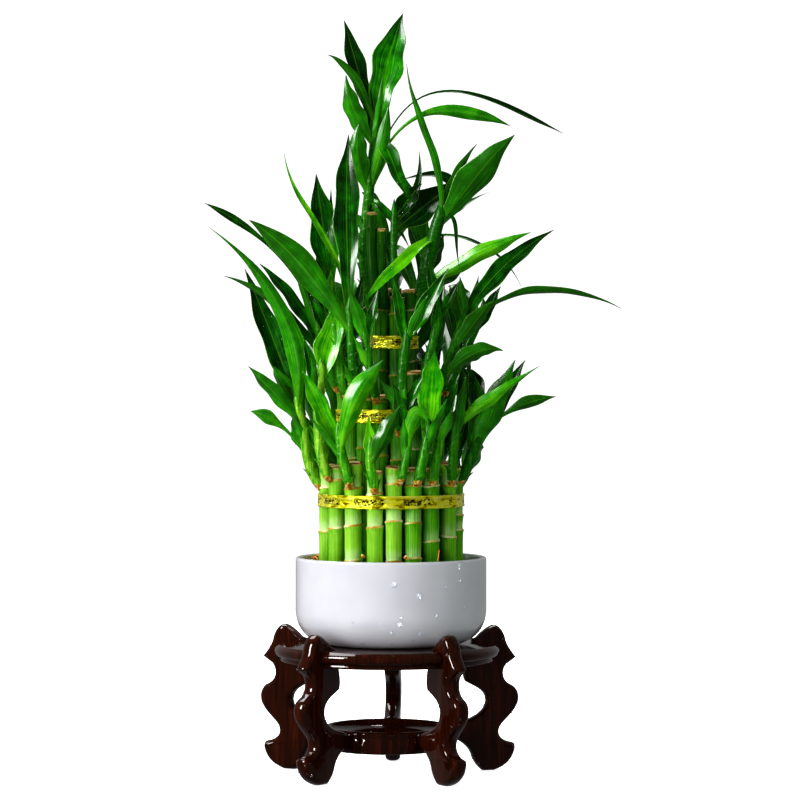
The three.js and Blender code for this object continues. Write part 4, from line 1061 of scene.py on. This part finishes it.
def stubSurface(line, radius, tone):
    # A cut shoot: P(z, a) = line(z) + r(z) (cos a, sin a), closed by a rimmed, slightly hollow cut top.
    a = around(nodeProfile["stubColumns"])
    top = line[-1, 2]
    scar = top - nodeProfile["stubNode"]
    head = np.array(cutTops["stub"])
    heights = np.array(nodeProfile["height"][1:-1], float)
    low = np.sort(np.concatenate([np.linspace(line[0, 2], scar - 7, 8), scar + heights]))
    z = np.concatenate([low, top - head[:, 0]])
    stand = nodeProfile["stubStand"] * np.interp(low - scar, heights, nodeProfile["stand"][1:-1], 0, 0)
    r = np.concatenate([radius + stand, radius * head[:, 1]])
    centre = atHeight(line, np.minimum(z, top - 0.01))
    ring = np.stack([np.cos(a), np.sin(a), 0 * a], -1)
    grid = centre[:, None] + r[:, None, None] * ring
    slope = smoothStep(z, top - 3.5, top - 1) * r / radius
    grid[..., 2] = z[:, None] + np.outer(slope, cutTops["stubSlope"] * np.sin(a))
    return skin(grid, {**cutMarks(head, len(low), r / radius), "tone": tone})


def caneSurface(cane, tone, draw):
    # P(z, a) = upright + r(z) (cos a, sin a) at z = z_j + tilt w(z_j) sin(a + turn): w is 1 at a node ring
    # and fades over 6 mm, and r swells under each ring and pinches in over it. The cut top slopes.
    a = around(canes["columns"])
    rings = np.array(cane["rings"], float)
    radius, top = cane["radius"], cane["top"]
    heights = np.array(nodeProfile["height"], float)
    plain = np.arange(canes["foot"], top, canes["rowStep"])
    levels = np.unique(np.round(np.concatenate([(rings[:, None] + heights).ravel(), plain]), 2))
    levels = levels[(levels > canes["foot"] + 0.3) & (levels < top - 4.6)]
    levels = levels[np.concatenate([[True], np.diff(levels) > 0.12])]
    offset = levels[:, None] - rings
    nearest = offset[np.arange(len(levels)), np.abs(offset).argmin(1)]
    stand = np.interp(offset, heights, nodeProfile["stand"], 0, 0)
    r = radius + stand[np.arange(len(levels)), np.abs(stand).argmax(1)]
    head = np.array(cutTops["cane"])
    rowZ = np.concatenate([[canes["foot"]], levels, top - head[:, 0]])
    rowR = np.concatenate([[radius], r, radius * head[:, 1]])
    # The foot and the cut top lie far from any node.
    far = np.concatenate([[30.0], nearest, np.full(len(head), 30.0)])
    slope = cutTops["caneSlope"] * rowR / radius * smoothStep(rowZ, top - 4.5, top - 1)
    lean = nodeProfile["tilt"] * np.exp(-(far / canes["tiltFade"]) ** 2)
    turn, fall = tau * next(draw), 1.2 * (next(draw) - 0.5)
    z = rowZ[:, None] + np.outer(lean, np.sin(a + turn)) + np.outer(slope, np.sin(a + fall))
    x = cane["middle"][0] + np.outer(rowR, np.cos(a))
    y = cane["middle"][1] + np.outer(rowR, np.sin(a))
    marks = {**cutMarks(head, len(levels) + 1, rowR / radius), "tone": tone,
             **nodeMarks(far, tones["bloom"][cane["tier"]])}
    return skin(np.stack([x, y, z], -1), marks)


# Lightness of the greens, from darkest to lightest, by tier. The inner tiers, deep in the foliage, are
# darker
# and have less bloom: painted shade. The cut stubs, behind the leaves, are darkest: painted shade too. lit
# paints the canes and stems on the left, towards the lamp, lighter and those on the right darker: painted
# light.
tones = {
    "leaf": {"outer": (0.15, 0.65), "middle": (-0.12, 0.34), "top": (-0.04, 0.4)},
    "stem": {"outer": (-0.03, 0.22), "middle": (-0.16, 0.06), "top": (-0.2, 0.0)},
    "cane": {"outer": (-0.14, 0.06), "middle": (-0.46, -0.3), "top": (-0.58, -0.44)},
    "bloom": {"outer": 0.8, "middle": 0.35, "top": 0.12},
    "stub": -0.6, "lit": 0.12, "seed": 21,
    # how much paler single canes are than their tier: painted shade, darkest where a cane stands in its
    # neighbours' shade
    "paler": {"cane_outer_02": -0.1, "cane_outer_04": 0.04, "cane_outer_06": -0.2, "cane_outer_07": -0.28},
    # the leaves in view, in the order of their rows: each leaf's own tone with painted light and shade for
    # where it stands lit or in shade
    "shades": {
        "cane_outer_01": (0.5, 0.15, 0.4, 0.75, 0.5), "cane_outer_02": (0.8, 0.5, 0.4),
        "cane_outer_03": (0.7, 0.5, 0.72), "cane_outer_04": (0.85, 0.2), "cane_outer_05": (0.5, 0.7, 0.4),
        "cane_outer_06": (0.72, 0.4), "cane_outer_07": (0.4, 0.5), "cane_outer_08": (0.78, 0.35),
        "cane_outer_09": (0.4, 0.25, 0.3, 0.2), "cane_middle_14": (0.35, 0.25, 0.3, 0.2),
        "cane_middle_01": (0.3, 0.3, 0.35, 0.35), "cane_middle_02": (0.3, 0.2, 0.85, 0.5, 0.3),
        "cane_middle_03": (0.7, 0.45, 0.3), "cane_middle_04": (0.35, 0.4, 0.3, 0.35, 0.6, 0.4),
        "cane_middle_05": (0.3, 0.3, 0.2), "cane_middle_06": (0.15, 0.2, 0.2, 0.2),
        "cane_middle_07": (0.15, 0.2, 0.1), "cane_top_02": (-0.05, -0.05, 0.2),
        "cane_top_03": (0.25, 0.35, 0.15, 0.0, 0.86, 0.2, 0.2, 0.86, 0.2),
        "cane_top_06": (0.5, 0.05, 0.2, 0.45, 0.5, 0.5, 0.55, 0.65, 0.0, 0.35, 0.3),
    },
}

standing = standingCanes()
growthDraw = draws(wild["seed"])
growths = [growthOf(cane, growthDraw) for cane in standing]
lookDraw = draws(tones["seed"])
leafCount = 0
frontBlades = []
for cane, growth in zip(standing, growths):
    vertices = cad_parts[cane["name"]].data.vertices
    corners = np.empty(len(vertices) * 3)
    vertices.foreach_get("co", corners)
    corners = (corners.reshape(-1, 3) - upright) / millimetre
    tier = cane["tier"]
    # Painted light and shade: canes and stems on the left, towards the lamp, lighter, those on the right
    # darker.
    paintedSideLight = -tones["lit"] * math.sin(math.radians(cane["angle"]))
    paler = paintedSideLight + tones["paler"].get(cane["name"], 0)
    parts = [caneSurface(cane, paler + lerp(*tones["cane"][tier], next(lookDraw)), lookDraw)]
    if "stubs" in growth:
        parts += [stubSurface(line, radius, tones["stub"]) for line, radius in growth["stubs"]]
    if "line" in growth:
        edges = sheathEdges(growth, lookDraw)
        tone = paintedSideLight + lerp(*tones["stem"][tier], next(lookDraw))
        parts.append(stemSurface(cane, growth, edges, tone))
        parts += [sheathTip(growth, height, facing, tone) for height, facing, bare in edges if bare]
    shades = tones["shades"].get(cane["name"])
    for number, leaf in enumerate(growth.get("leaves", [])):
        tone = shades[number] if shades else lerp(*tones["leaf"][tier], next(lookDraw))
        wave = [lerp(*leafShape["rock"], next(lookDraw)), tau * next(lookDraw),
                lerp(*leafShape["flap"], next(lookDraw)), tau * next(lookDraw)]
        points = asGrown(leaf, corners)
        if points is None:
            continue
        if not shades:
            points[-1] -= [wild["drawnIn"] * points[-1, 0], 0, leafShape["droop"] * next(lookDraw)]
        parts.append(leafSurface(leaf, points, tone, wave))
        leafCount += 1
        if cane["name"] in shoots and leaf["width"] > leafShape["dewFrom"]:
            upper = [j for j in leafShape["dewColumns"] if parts[-1]["marks"]["under"][j] == 0]
            frontBlades.append((parts[-1]["points"].reshape(-1, leafShape["columns"], 3), upper))
    putPiece(tier + "Cane" + cane["name"][-2:], parts, [caneMaterial, sheathMaterial, leafMaterial],
             [cane["name"]])
print("canes and shoots made, leaves:", leafCount)


ribbons = {
    "bands": {"outer": (214, 224.3), "middle": (281, 291.6), "top": (339.6, 350)},
    "off": 0.3, "thick": 0.7, "border": 1.6, "raised": 0.3, "steps": 420, "arcSteps": 8,
    # depth of the crumple at the borders, and its share of that on the face
    "crumple": 0.16, "crumpled": 0.6,
    # the ribbon's end lies over its start from one angle to the other
    "overlap": {"outer": (56, 84), "middle": (100, 124), "top": (110, 140)}, "ply": 0.35,
}


def tautLoop(discs, off, steps):
    # Round discs (x, y, r) in order anticlockwise: on each, an arc of radius r + off between the normals
    # of its two shared tangents, where a normal is the way to the next disc less acos((r - r') / distance).
    x, y, r = np.array(discs).T
    dx, dy = np.roll(x, -1) - x, np.roll(y, -1) - y
    normal = np.arctan2(dy, dx) - np.arccos((r - np.roll(r, -1)) / np.hypot(dx, dy))
    before = np.roll(normal, 1)
    a = before[:, None] + ((normal - before) % tau)[:, None] * np.linspace(0, 1, steps + 1)
    x, y, reach = x[:, None], y[:, None], r[:, None] + off
    return np.stack([x + reach * np.cos(a), y + reach * np.sin(a)], -1).reshape(-1, 2)


def discsOf(tier):
    # The tier's canes as discs (x, y, r), in order round it.
    ring = [cane for cane in standing if cane["tier"] == tier and cane["name"] != canes["centreName"]]
    return [(*cane["middle"], cane["radius"]) for cane in sorted(ring, key=lambda cane: cane["angle"])]


def evenLoop(loop, count):
    # The closed loop cut again into count even steps, and how far round each one lies.
    closed = np.vstack([loop, loop[:1]])
    far = np.concatenate([[0], np.cumsum(np.hypot(*np.diff(closed, axis=0).T))])
    place = np.arange(count) * far[-1] / count
    return np.stack([np.interp(place, far, closed[:, k]) for k in (0, 1)], -1), place


def ribbonSurface(tier, low, high):
    # P(j, i) = loop(i) + d_j normal(i), z_j: the band's section j, carried round the taut loop i, with
    # raised borders, a slow crumple of the outer face and one more ply where the end laps over.
    loop, place = evenLoop(tautLoop(discsOf(tier), ribbons["off"], ribbons["arcSteps"]), ribbons["steps"])
    normal = rightOf(np.roll(loop, -1, 0) - np.roll(loop, 1, 0))
    wide, border, raised = high - low, ribbons["border"], ribbons["raised"]
    # the section's heights, how far it stands out, and its share of the crumple
    z = np.array([0, 0, 0.25, border, border + 0.35, wide / 2, wide - border - 0.35, wide - border,
                  wide - 0.25, wide, wide])
    out = ribbons["thick"] + np.array([0, -0.15, raised, raised, 0, 0.05, 0, raised, raised, -0.15, 0])
    out[[0, -1]] = 0
    face = np.array([0, 0, 0.4, 1, 1, 1, 1, 1, 0.4, 0, 0])
    crumple = ribbons["crumple"] * (np.sin(place / 2.9) + np.sin(place / 1.7 + 2) * np.sin(place / 9))
    way = np.degrees(np.arctan2(loop[:, 0], -loop[:, 1]))
    first, last = ribbons["overlap"][tier]
    ply = ((way > first) & (way < last)).astype(float)
    d = out[:, None] + face[:, None] * (ribbons["crumpled"] * crumple + ribbons["ply"] * ply)
    grid = atLevels(loop + d[..., None] * normal, z + low)
    return skin(grid, {"round": place[None], "high": (z - wide / 2)[:, None], "ply": ply[None]}, cyclic=True)


for tier, (low, high) in ribbons["bands"].items():
    putPiece(f"{tier}Ribbon", [ribbonSurface(tier, low, high)], [foilMaterial], [f"ribbon_{tier}"])
print("ribbons made")


bowl = {
    "radius": 76.3, "rim": 173.6, "base": 104.3, "foot": 50.0, "wall": 4.0, "floor": 112.0,
    "innerCorner": 14.6, "sides": 128,
}


def bowlProfile():
    # Rows (r, z) from the middle of the base out under the foot ring, up the wall and down inside it.
    radius, base, foot, rim, floor = (bowl[key] for key in ("radius", "base", "foot", "rim", "floor"))
    corner, innerCorner = radius - foot, bowl["innerCorner"]
    inner, lip = radius - bowl["wall"], bowl["wall"] / 2
    return [
        (0.2, base + 2.4), (foot - 9, base + 2.4), (foot - 7.4, base + 1.9), (foot - 6.9, base + 0.6),
        (foot - 6.2, base), (foot - 3.4, base),
        *arcPoints(foot, base + corner, corner, -90, 0, 18),
        (radius, base + corner + 14), (radius, rim - 12), (radius, rim - 4),
        *arcPoints(radius - lip, rim - lip, lip, 0, 180, 11),
        (inner, rim - 6), (inner, rim - 20),
        *arcPoints(inner - innerCorner, floor + innerCorner, innerCorner, 0, -90, 12),
        (24, floor), (0.2, floor),
    ]


putPiece("porcelainBowl", [turned(bowlProfile(), bowl["sides"])], [bowlMaterial], ["bowl"])

water = {
    "level": 162.0, "steps": 180, "offCanes": 0.3, "offWall": 0.15, "offFloor": 0.2,
    # about how wide the ring of water is, how far it climbs at its shores and over what distance
    "wide": 14.5, "climb": 0.7, "climbOver": 1.2,
}


def waterSurface():
    # P(j, i) = inner(i) + v_j (outer(i) - inner(i)), z_j: from the canes' outline, v 0, to the bowl's
    # wall, v 1, closed below. The surface climbs at both shores by 0.7 mm e^(-d / 1.2 mm).
    inner, _ = evenLoop(tautLoop(discsOf("outer"), water["offCanes"], 6), water["steps"])
    way = np.arctan2(inner[:, 1], inner[:, 0])
    wall = bowl["radius"] - bowl["wall"] - water["offWall"]
    outer = wall * np.stack([np.cos(way), np.sin(way)], 1)
    v = np.array([0, 0, 0.03, 0.1, 0.25, 0.5, 0.75, 0.9, 0.97, 1, 1, 0.9, 0.5])
    shore = np.minimum(v, 1 - v) * water["wide"]
    z = water["level"] + water["climb"] * np.exp(-shore / water["climbOver"])
    low = bowl["floor"] + water["offFloor"]
    z[[0, -1]] = low
    z[-3] = low + bowl["innerCorner"]
    z[-2] = low + 5
    grid = atLevels(inner + v[:, None, None] * (outer - inner), z)
    return skin(grid[::-1], {}, cyclic=True)


putPiece("waterInBowl", [waterSurface()], [waterMaterial], ["water"])
print("bowl and water made")


splashes = {
    # drops on the bowl as they look from the eye: x, z, radius, length as a share of the width
    "bowl": [
        (2.2, 151.4, 2.3, 1.1), (23.0, 142.0, 2.1, 1.3), (6.7, 119.8, 2.6, 0.8), (22.7, 112.7, 1.8, 1.2),
        (0.2, 113.2, 1.5, 1.2), (55.3, 153.6, 1.1, 1.4),
        (54.6, 164.7, 1.2, 3.2), (59.0, 130.9, 1.2, 1.2), (-30.7, 120.6, 1.2, 1.1),
        (-8.6, 120.6, 1.1, 1.1), (8.0, 124.6, 1.3, 1.0), (44.0, 149.0, 1.0, 1.2), (36.0, 126.0, 1.2, 1.2),
        (-23.0, 103.0, 2.4, 0.7), (17.5, 105.5, 1.5, 1.1), (0.6, 103.4, 1.3, 1.1),
    ],
    # the depth they are seen at, how tall a drop is for its radius, and the sides of large and small ones
    "depth": -70, "tall": 0.6, "sides": 16, "fewSides": 6,
    # small drops on the leaves and on the stand: how many, and the range of their radius
    "dew": 420, "dewSize": (0.3, 0.85), "stand": 90, "standSize": (0.5, 1.1), "seed": 31,
}


def dropsOnBowl():
    # On the wall: y = -sqrt(R^2 - x^2), and below it on the rounded corner, where R shrinks as an arc.
    corner = bowl["radius"] - bowl["foot"]
    parts = []
    for x, z, radius, long in splashes["bowl"]:
        spot = seen([(x, z, splashes["depth"])])[0]
        deep = max(bowl["base"] + corner - spot[2], 0) / corner
        level = math.sqrt(1 - deep ** 2)
        reach = bowl["foot"] + corner * level
        y = -math.sqrt(reach ** 2 - spot[0] ** 2)
        outward = np.array([spot[0] / reach * level, y / reach * level, -deep])
        place = [spot[0], y, spot[2]]
        parts.append(dome(place, outward, radius, splashes["tall"], long, splashes["sides"]))
    return parts


def beads(grids, count, size, draw):
    # Small drops at random points of grids, where outward turns to the viewer and not far down, and the
    # floor is further away than a drop is wide. Outward is P_j x P_i. As the faces are wound, that is the
    # normal where the grid is the surface's own.
    parts = []
    while len(parts) < count:
        grid, columns = grids[int(next(draw) * len(grids))]
        i = 2 + int(next(draw) * (len(grid) - 5))
        j = columns[int(next(draw) * len(columns))]
        across = grid[i, (j + 1) % grid.shape[1]] - grid[i, j - 1]
        outward = unit(np.cross(across, grid[i + 1, j] - grid[i - 1, j]))
        if outward[1] < -0.15 and outward[2] > -0.5 and grid[i, j, 2] > 2 * size[1]:
            radius, long = lerp(*size, next(draw) ** 2), lerp(1, 1.5, next(draw))
            parts.append(dome(grid[i, j], outward, radius, splashes["tall"], long, splashes["fewSides"]))
    return parts


beadDraw = draws(splashes["seed"])
putPiece("dropsOnBowl", dropsOnBowl(), [dropMaterial])
putPiece("dewOnLeaves", beads(frontBlades, splashes["dew"], splashes["dewSize"], beadDraw), [dropMaterial])

roots = {
    # thin roots inside the rim: points (x, y, z), radius at the start
    "threads": [
        ([(-58, 6, 164), (-62, 8, 170), (-66, 10, 169), (-69, 12, 163), (-70, 13, 156)], 0.8),
        ([(-56, 14, 164), (-60, 17, 171.5), (-64, 20, 171), (-66, 22, 165), (-67, 23, 156)], 0.7),
        ([(-53, 22, 164), (-58, 27, 172.5), (-61, 30, 172), (-63, 32, 166), (-63.5, 33, 156)], 0.8),
        ([(-59, 2, 162), (-64, 3, 167), (-68, 4, 168), (-71, 5, 164), (-71.5, 5, 156)], 0.7),
        ([(-50, 30, 164), (-53, 36, 171), (-57, 38, 173), (-60, 37, 168), (-61, 36, 156)], 0.6),
        ([(38, -52, 182), (37.4, -55, 178), (36.8, -56, 173), (36.5, -56, 166), (36, -55, 156)], 0.6),
    ],
    # buds on the outer canes' nodes as they look from the eye: x, z, depth
    "buds": [(-22, 173.5, -54), (11.4, 172.6, -57)],
    # a bud's length outwards and upwards, and its radius at the foot and at the tip
    "budOut": 3.2, "budUp": 2.2, "budThick": 1.4, "budTip": 0.05,
}


def budPart(x, z, depth):
    # A tube of radius 1.4 sqrt(1 - t^2), which leans outwards as 3.2 t and bends up as 2.2 t^2.
    t = np.linspace(0.02, 0.98, 7)
    foot = seen([(x, z, depth)])[0]
    out = unit(np.array([foot[0], foot[1], 0.0]))
    line = foot + np.outer(roots["budOut"] * t, out) + np.outer(roots["budUp"] * t ** 2, [0, 0, 1.0])
    return tube(line, roots["budThick"] * np.sqrt(1 - t ** 2) + roots["budTip"], 8, {"along": t[:, None]})


def rootPart(points, radius):
    # A tube that thins to a third along the spline through its points.
    t = np.linspace(0, 1, 26)
    return tube(throughPoints(np.array(points, float), t), radius * (1 - 0.66 * t), 7, {"along": t[:, None]})


rootParts = [rootPart(points, radius) for points, radius in roots["threads"]]
rootParts += [budPart(*bud) for bud in roots["buds"]]
putPiece("rootsAndBuds", rootParts, [rootMaterial])
print("drops and roots made")


stand = {
    "x": -3.0, "legAngles": [-39, 33, -111, 105, 177], "legThick": 12.5,
    # how far the leg's narrow faces draw in, over what width, and the places of their rows in that width
    "legRound": (3.4, 5.0), "roundRows": (1, 0.97, 0.85, 0.6, 0.3, 0), "curveSteps": 7,
    "boardRadius": 90.0, "boardBottom": 91.0, "boardTop": 104.0, "boardSides": 128,
    "ringRadius": 51.0, "ringHole": 29.0, "ringBottom": 21.0, "ringTop": 38.5, "ringSides": 112,
    # the leg's outline from its toe: one point ends a straight side, two or three are a curve's controls
    "outline": [
        [(88, 0)], [(103, 4), (106, 17)], [(106.5, 21), (104.5, 22)], [(96, 23.5), (92, 27), (92.3, 32)],
        [(93, 39), (104, 43), (108.5, 54)], [(110.5, 61), (108, 67), (101.5, 69.5)],
        [(95, 73), (94.5, 81), (99, 85.5)], [(103, 88), (107, 91)], [(101, 98), (98.5, 104)],
        [(97.5, 111), (93, 117), (89, 117.3)], [(84, 117), (73.6, 107.2)], [(70, 106)], [(70, 90.7)],
        [(65.5, 90.7)], [(61.5, 78), (65, 72)], [(74, 67), (82, 65), (82.3, 56)],
        [(81.5, 46), (68, 41.5), (60, 39.5)], [(51.3, 37)], [(51.3, 28)], [(63, 24), (69, 18), (70.5, 11)],
        [(73.5, 4), (79, 0)],
    ],
}


def legOutline():
    # The outline as points: each curve in even steps of its formula.
    points = [np.array(stand["outline"][-1][-1], float)]
    t = (np.arange(1, stand["curveSteps"] + 1) / stand["curveSteps"])[:, None]
    for controls in stand["outline"]:
        p = [points[-1], *np.array(controls, float)]
        points.extend(p[1:] if len(p) == 2 else curveAt(p, t))
    return np.array(points[:-1])


def legPart(angle):
    # P = (x + r sin A + w cos A, -r cos A + w sin A, z), where (r, z) is the outline drawn in by
    # deep (1 - sqrt(1 - ((|w| - flat) / wide)^2)) along its own normals, so that its narrow faces are round.
    outline = legOutline()
    normal = rightOf(np.roll(outline, -1, 0) - outline)
    miter = normal + np.roll(normal, 1, 0)
    miter /= np.maximum((miter * normal).sum(1), 0.7)[:, None]
    deep, wide = stand["legRound"]
    u = np.array(stand["roundRows"])
    side = stand["legThick"] / 2 - wide + wide * u
    w = np.concatenate([side, -side[::-1]])[:, None]
    inset = deep * (1 - np.sqrt(1 - np.concatenate([u, u[::-1]]) ** 2))
    r, z = (outline - inset[:, None, None] * miter).transpose(2, 0, 1)
    a = math.radians(angle)
    x, y = stand["x"] + r * math.sin(a) + w * math.cos(a), w * math.sin(a) - r * math.cos(a)
    return skin(np.stack([x, y, np.maximum(z, 0)], -1), {})


legParts = [legPart(angle) for angle in stand["legAngles"]]
for number, part in enumerate(legParts, 1):
    putPiece(f"standLeg{number}", [part], [woodMaterial], [f"stand_leg_{number}"])

boardRadius, boardBottom, boardTop = stand["boardRadius"], stand["boardBottom"], stand["boardTop"]
boardProfile = [
    (0.2, boardBottom), (boardRadius - 6.4, boardBottom),
    *arcPoints(boardRadius - 5.6, boardBottom + 1.4, 1.4, -80, 60, 5),
    (boardRadius - 4.8, boardBottom + 3.0),
    *arcPoints(boardRadius - 4.4, boardBottom + 7.8, 4.4, -72, 58, 14),
    (boardRadius - 2.6, boardTop - 0.9),
    (boardRadius - 3.4, boardTop - 0.2), (boardRadius - 4.4, boardTop), (0.2, boardTop),
]
boardPart = turned(boardProfile, stand["boardSides"], stand["x"])
putPiece("standBoard", [boardPart], [woodMaterial], ["stand_board"])

ringRadius, ringHole = stand["ringRadius"], stand["ringHole"]
ringBottom, ringTop = stand["ringBottom"], stand["ringTop"]
ringProfile = [
    *arcPoints(ringRadius - 2.2, ringBottom + 2.2, 2.2, -90, 0, 6), (ringRadius, ringTop - 6.2),
    (ringRadius - 1.0, ringTop - 5.4), *arcPoints(ringRadius - 2.4, ringTop - 2.4, 2.4, -40, 150, 12),
    (ringRadius - 6.0, ringTop - 3.4), (ringHole + 6, ringTop - 5.4), (ringHole + 2, ringTop - 6.6),
    (ringHole, ringTop - 8.6), *arcPoints(ringHole + 1.5, ringBottom + 1.5, 1.5, 180, 270, 4),
]
ringPart = turned(ringProfile, stand["ringSides"], stand["x"], cyclic=True)
putPiece("standRing", [ringPart], [woodMaterial], ["stand_ring"])

# The ring's own grid, and the legs' points in short runs along their outlines. The runs aren't the surface's
# own grid, so outward isn't its normal there, and most of the legs' drops lie inside the wood.
standGrids = [(part["points"].reshape(-1, columns, 3), range(columns))
              for part, columns in [*((part, 12) for part in legParts), (ringPart, stand["ringSides"])]]
standBeads = beads(standGrids, splashes["stand"], splashes["standSize"], beadDraw)
putPiece("dropsOnStand", standBeads, [dropMaterial])
print("stand made")


studio = {
    "floorRadius": 1.6, "floorSides": 96, "whiteBetween": (0.3, 0.8), "floorGlow": (0.72, 1.0),
    # how bright the room is all round, and what mirrors of it: in front, and behind the plant
    "ambient": 0.09, "roomFront": 0.08, "roomBack": 0.25,
    # place in metres round the plant, size, power in watts, colour
    "lamps": {
        "keyLeft": ((-1.85, -1.2, 1.15), (1.5, 2.0), 60, "#FFFFFF"),
        "window": ((-1.75, -1.2, 1.2), (0.7, 1.0), 55, "#FFFFFF"),
        "topBack": ((-0.4, 0.7, 1.8), (1.8, 1.0), 36, "#FFFFFF"),
        "fillRight": ((1.9, -1.2, 0.7), (0.8, 1.0), 15, "#EAF6EE"),
        "paperGlow": ((-0.3, -0.65, 0.03), (0.7, 0.3), 2.6, "#FFFFFF"),
    },
    # the height they are aimed at, the ones that glossy skins mirror, and the one that does only that
    "aim": 0.28, "mirrored": ("window", "topBack"), "mirrorOnly": "window",
}


def makeFloor():
    # White paper that glows: painted light, brightest away from the plant so that it runs into the white
    # behind it.
    material, tree, shader = blank("whitePaper", Roughness=0.9, Base_Color=linear("#F8F8F8"),
                                   Specular_IOR_Level=0.0, Emission_Color=(1, 1, 1, 1))
    spot = node(tree, "ShaderNodeTexCoord", out="Object")
    far = node(tree, "ShaderNodeVectorMath", [spot], out="Value", operation="LENGTH")
    glow = node(tree, "ShaderNodeMapRange", [far, *studio["whiteBetween"], *studio["floorGlow"]])
    a = around(studio["floorSides"])
    mesh = bpy.data.meshes.new("floor")
    rim = studio["floorRadius"] * np.stack([np.cos(a), np.sin(a), 0 * a], 1)
    mesh.from_pydata(rim, [], [list(range(len(rim)))])
    mesh.materials.append(fed(material, shader, {"Emission Strength": glow}))
    floor = placed("floor", mesh)
    floor.visible_glossy = False
    floor.visible_diffuse = False


def makeWorld():
    # The picture is white behind the plant. The plant itself is lit by a dim room, and mirrors a dark room
    # in front and white paper behind: front + (back - front) smooth(y).
    world = bpy.data.worlds.new("studio")
    world.use_nodes = True
    tree = world.node_tree
    rays = node(tree, "ShaderNodeLightPath").node.outputs
    way = node(tree, "ShaderNodeTexCoord", out="Generated")
    behind = node(tree, "ShaderNodeSeparateXYZ", [way], out="Y")
    mirrored = node(tree, "ShaderNodeMapRange", [behind, -0.2, 0.9, studio["roomFront"], studio["roomBack"]],
                    interpolation_type="SMOOTHSTEP")
    bright = studio["ambient"]
    for ray, light in (("Is Glossy Ray", mirrored), ("Is Camera Ray", 1.0)):
        bright = node(tree, "ShaderNodeMix", {"Factor": rays[ray], "A": bright, "B": light},
                      out="Result", data_type="FLOAT")
    background = tree.nodes["Background"]
    tree.links.new(bright, background.inputs["Strength"])
    background.inputs["Color"].default_value = (1, 1, 1, 1)
    bpy.context.scene.world = world


def aimed(thing, place, target):
    # Sets a lamp at a place so that its -Z looks at the target.
    back = unit(place - target)
    right = unit(np.cross([0, 0, 1], back))
    turn = np.stack([right, np.cross(back, right), back], 1)
    thing.matrix_world = Matrix.LocRotScale(Vector(place), Matrix(turn.tolist()), None)


makeFloor()
makeWorld()
for name, (place, (wide, high), watts, colour) in studio["lamps"].items():
    lamp = bpy.data.lights.new(name, "AREA")
    lamp.shape = "RECTANGLE"
    lamp.size = wide
    lamp.size_y = high
    lamp.energy = watts
    lamp.color = linear(colour)[:3]
    holder = placed(name, lamp)
    aimed(holder, upright + place, upright + [0, 0, studio["aim"]])
    holder.visible_camera = False
    holder.visible_glossy = name in studio["mirrored"]
    holder.visible_diffuse = name != studio["mirrorOnly"]

view = {"lens": 135, "sensor": 36, "shift": -30 / 800, "furthest": 60}
camera = bpy.data.cameras.new("camera")
camera.lens = view["lens"]
camera.sensor_width = view["sensor"]
camera.shift_y = view["shift"]
camera.clip_end = view["furthest"]
holder = placed("camera", camera)
holder.location = upright + np.array([eye["x"], -eye["distance"], eye["height"]]) * millimetre
holder.rotation_euler = (math.pi / 2, 0, 0)
scene = bpy.context.scene
scene.camera = holder
scene.view_settings.view_transform = "Standard"
scene.view_settings.look = "Medium High Contrast"
print("studio made")
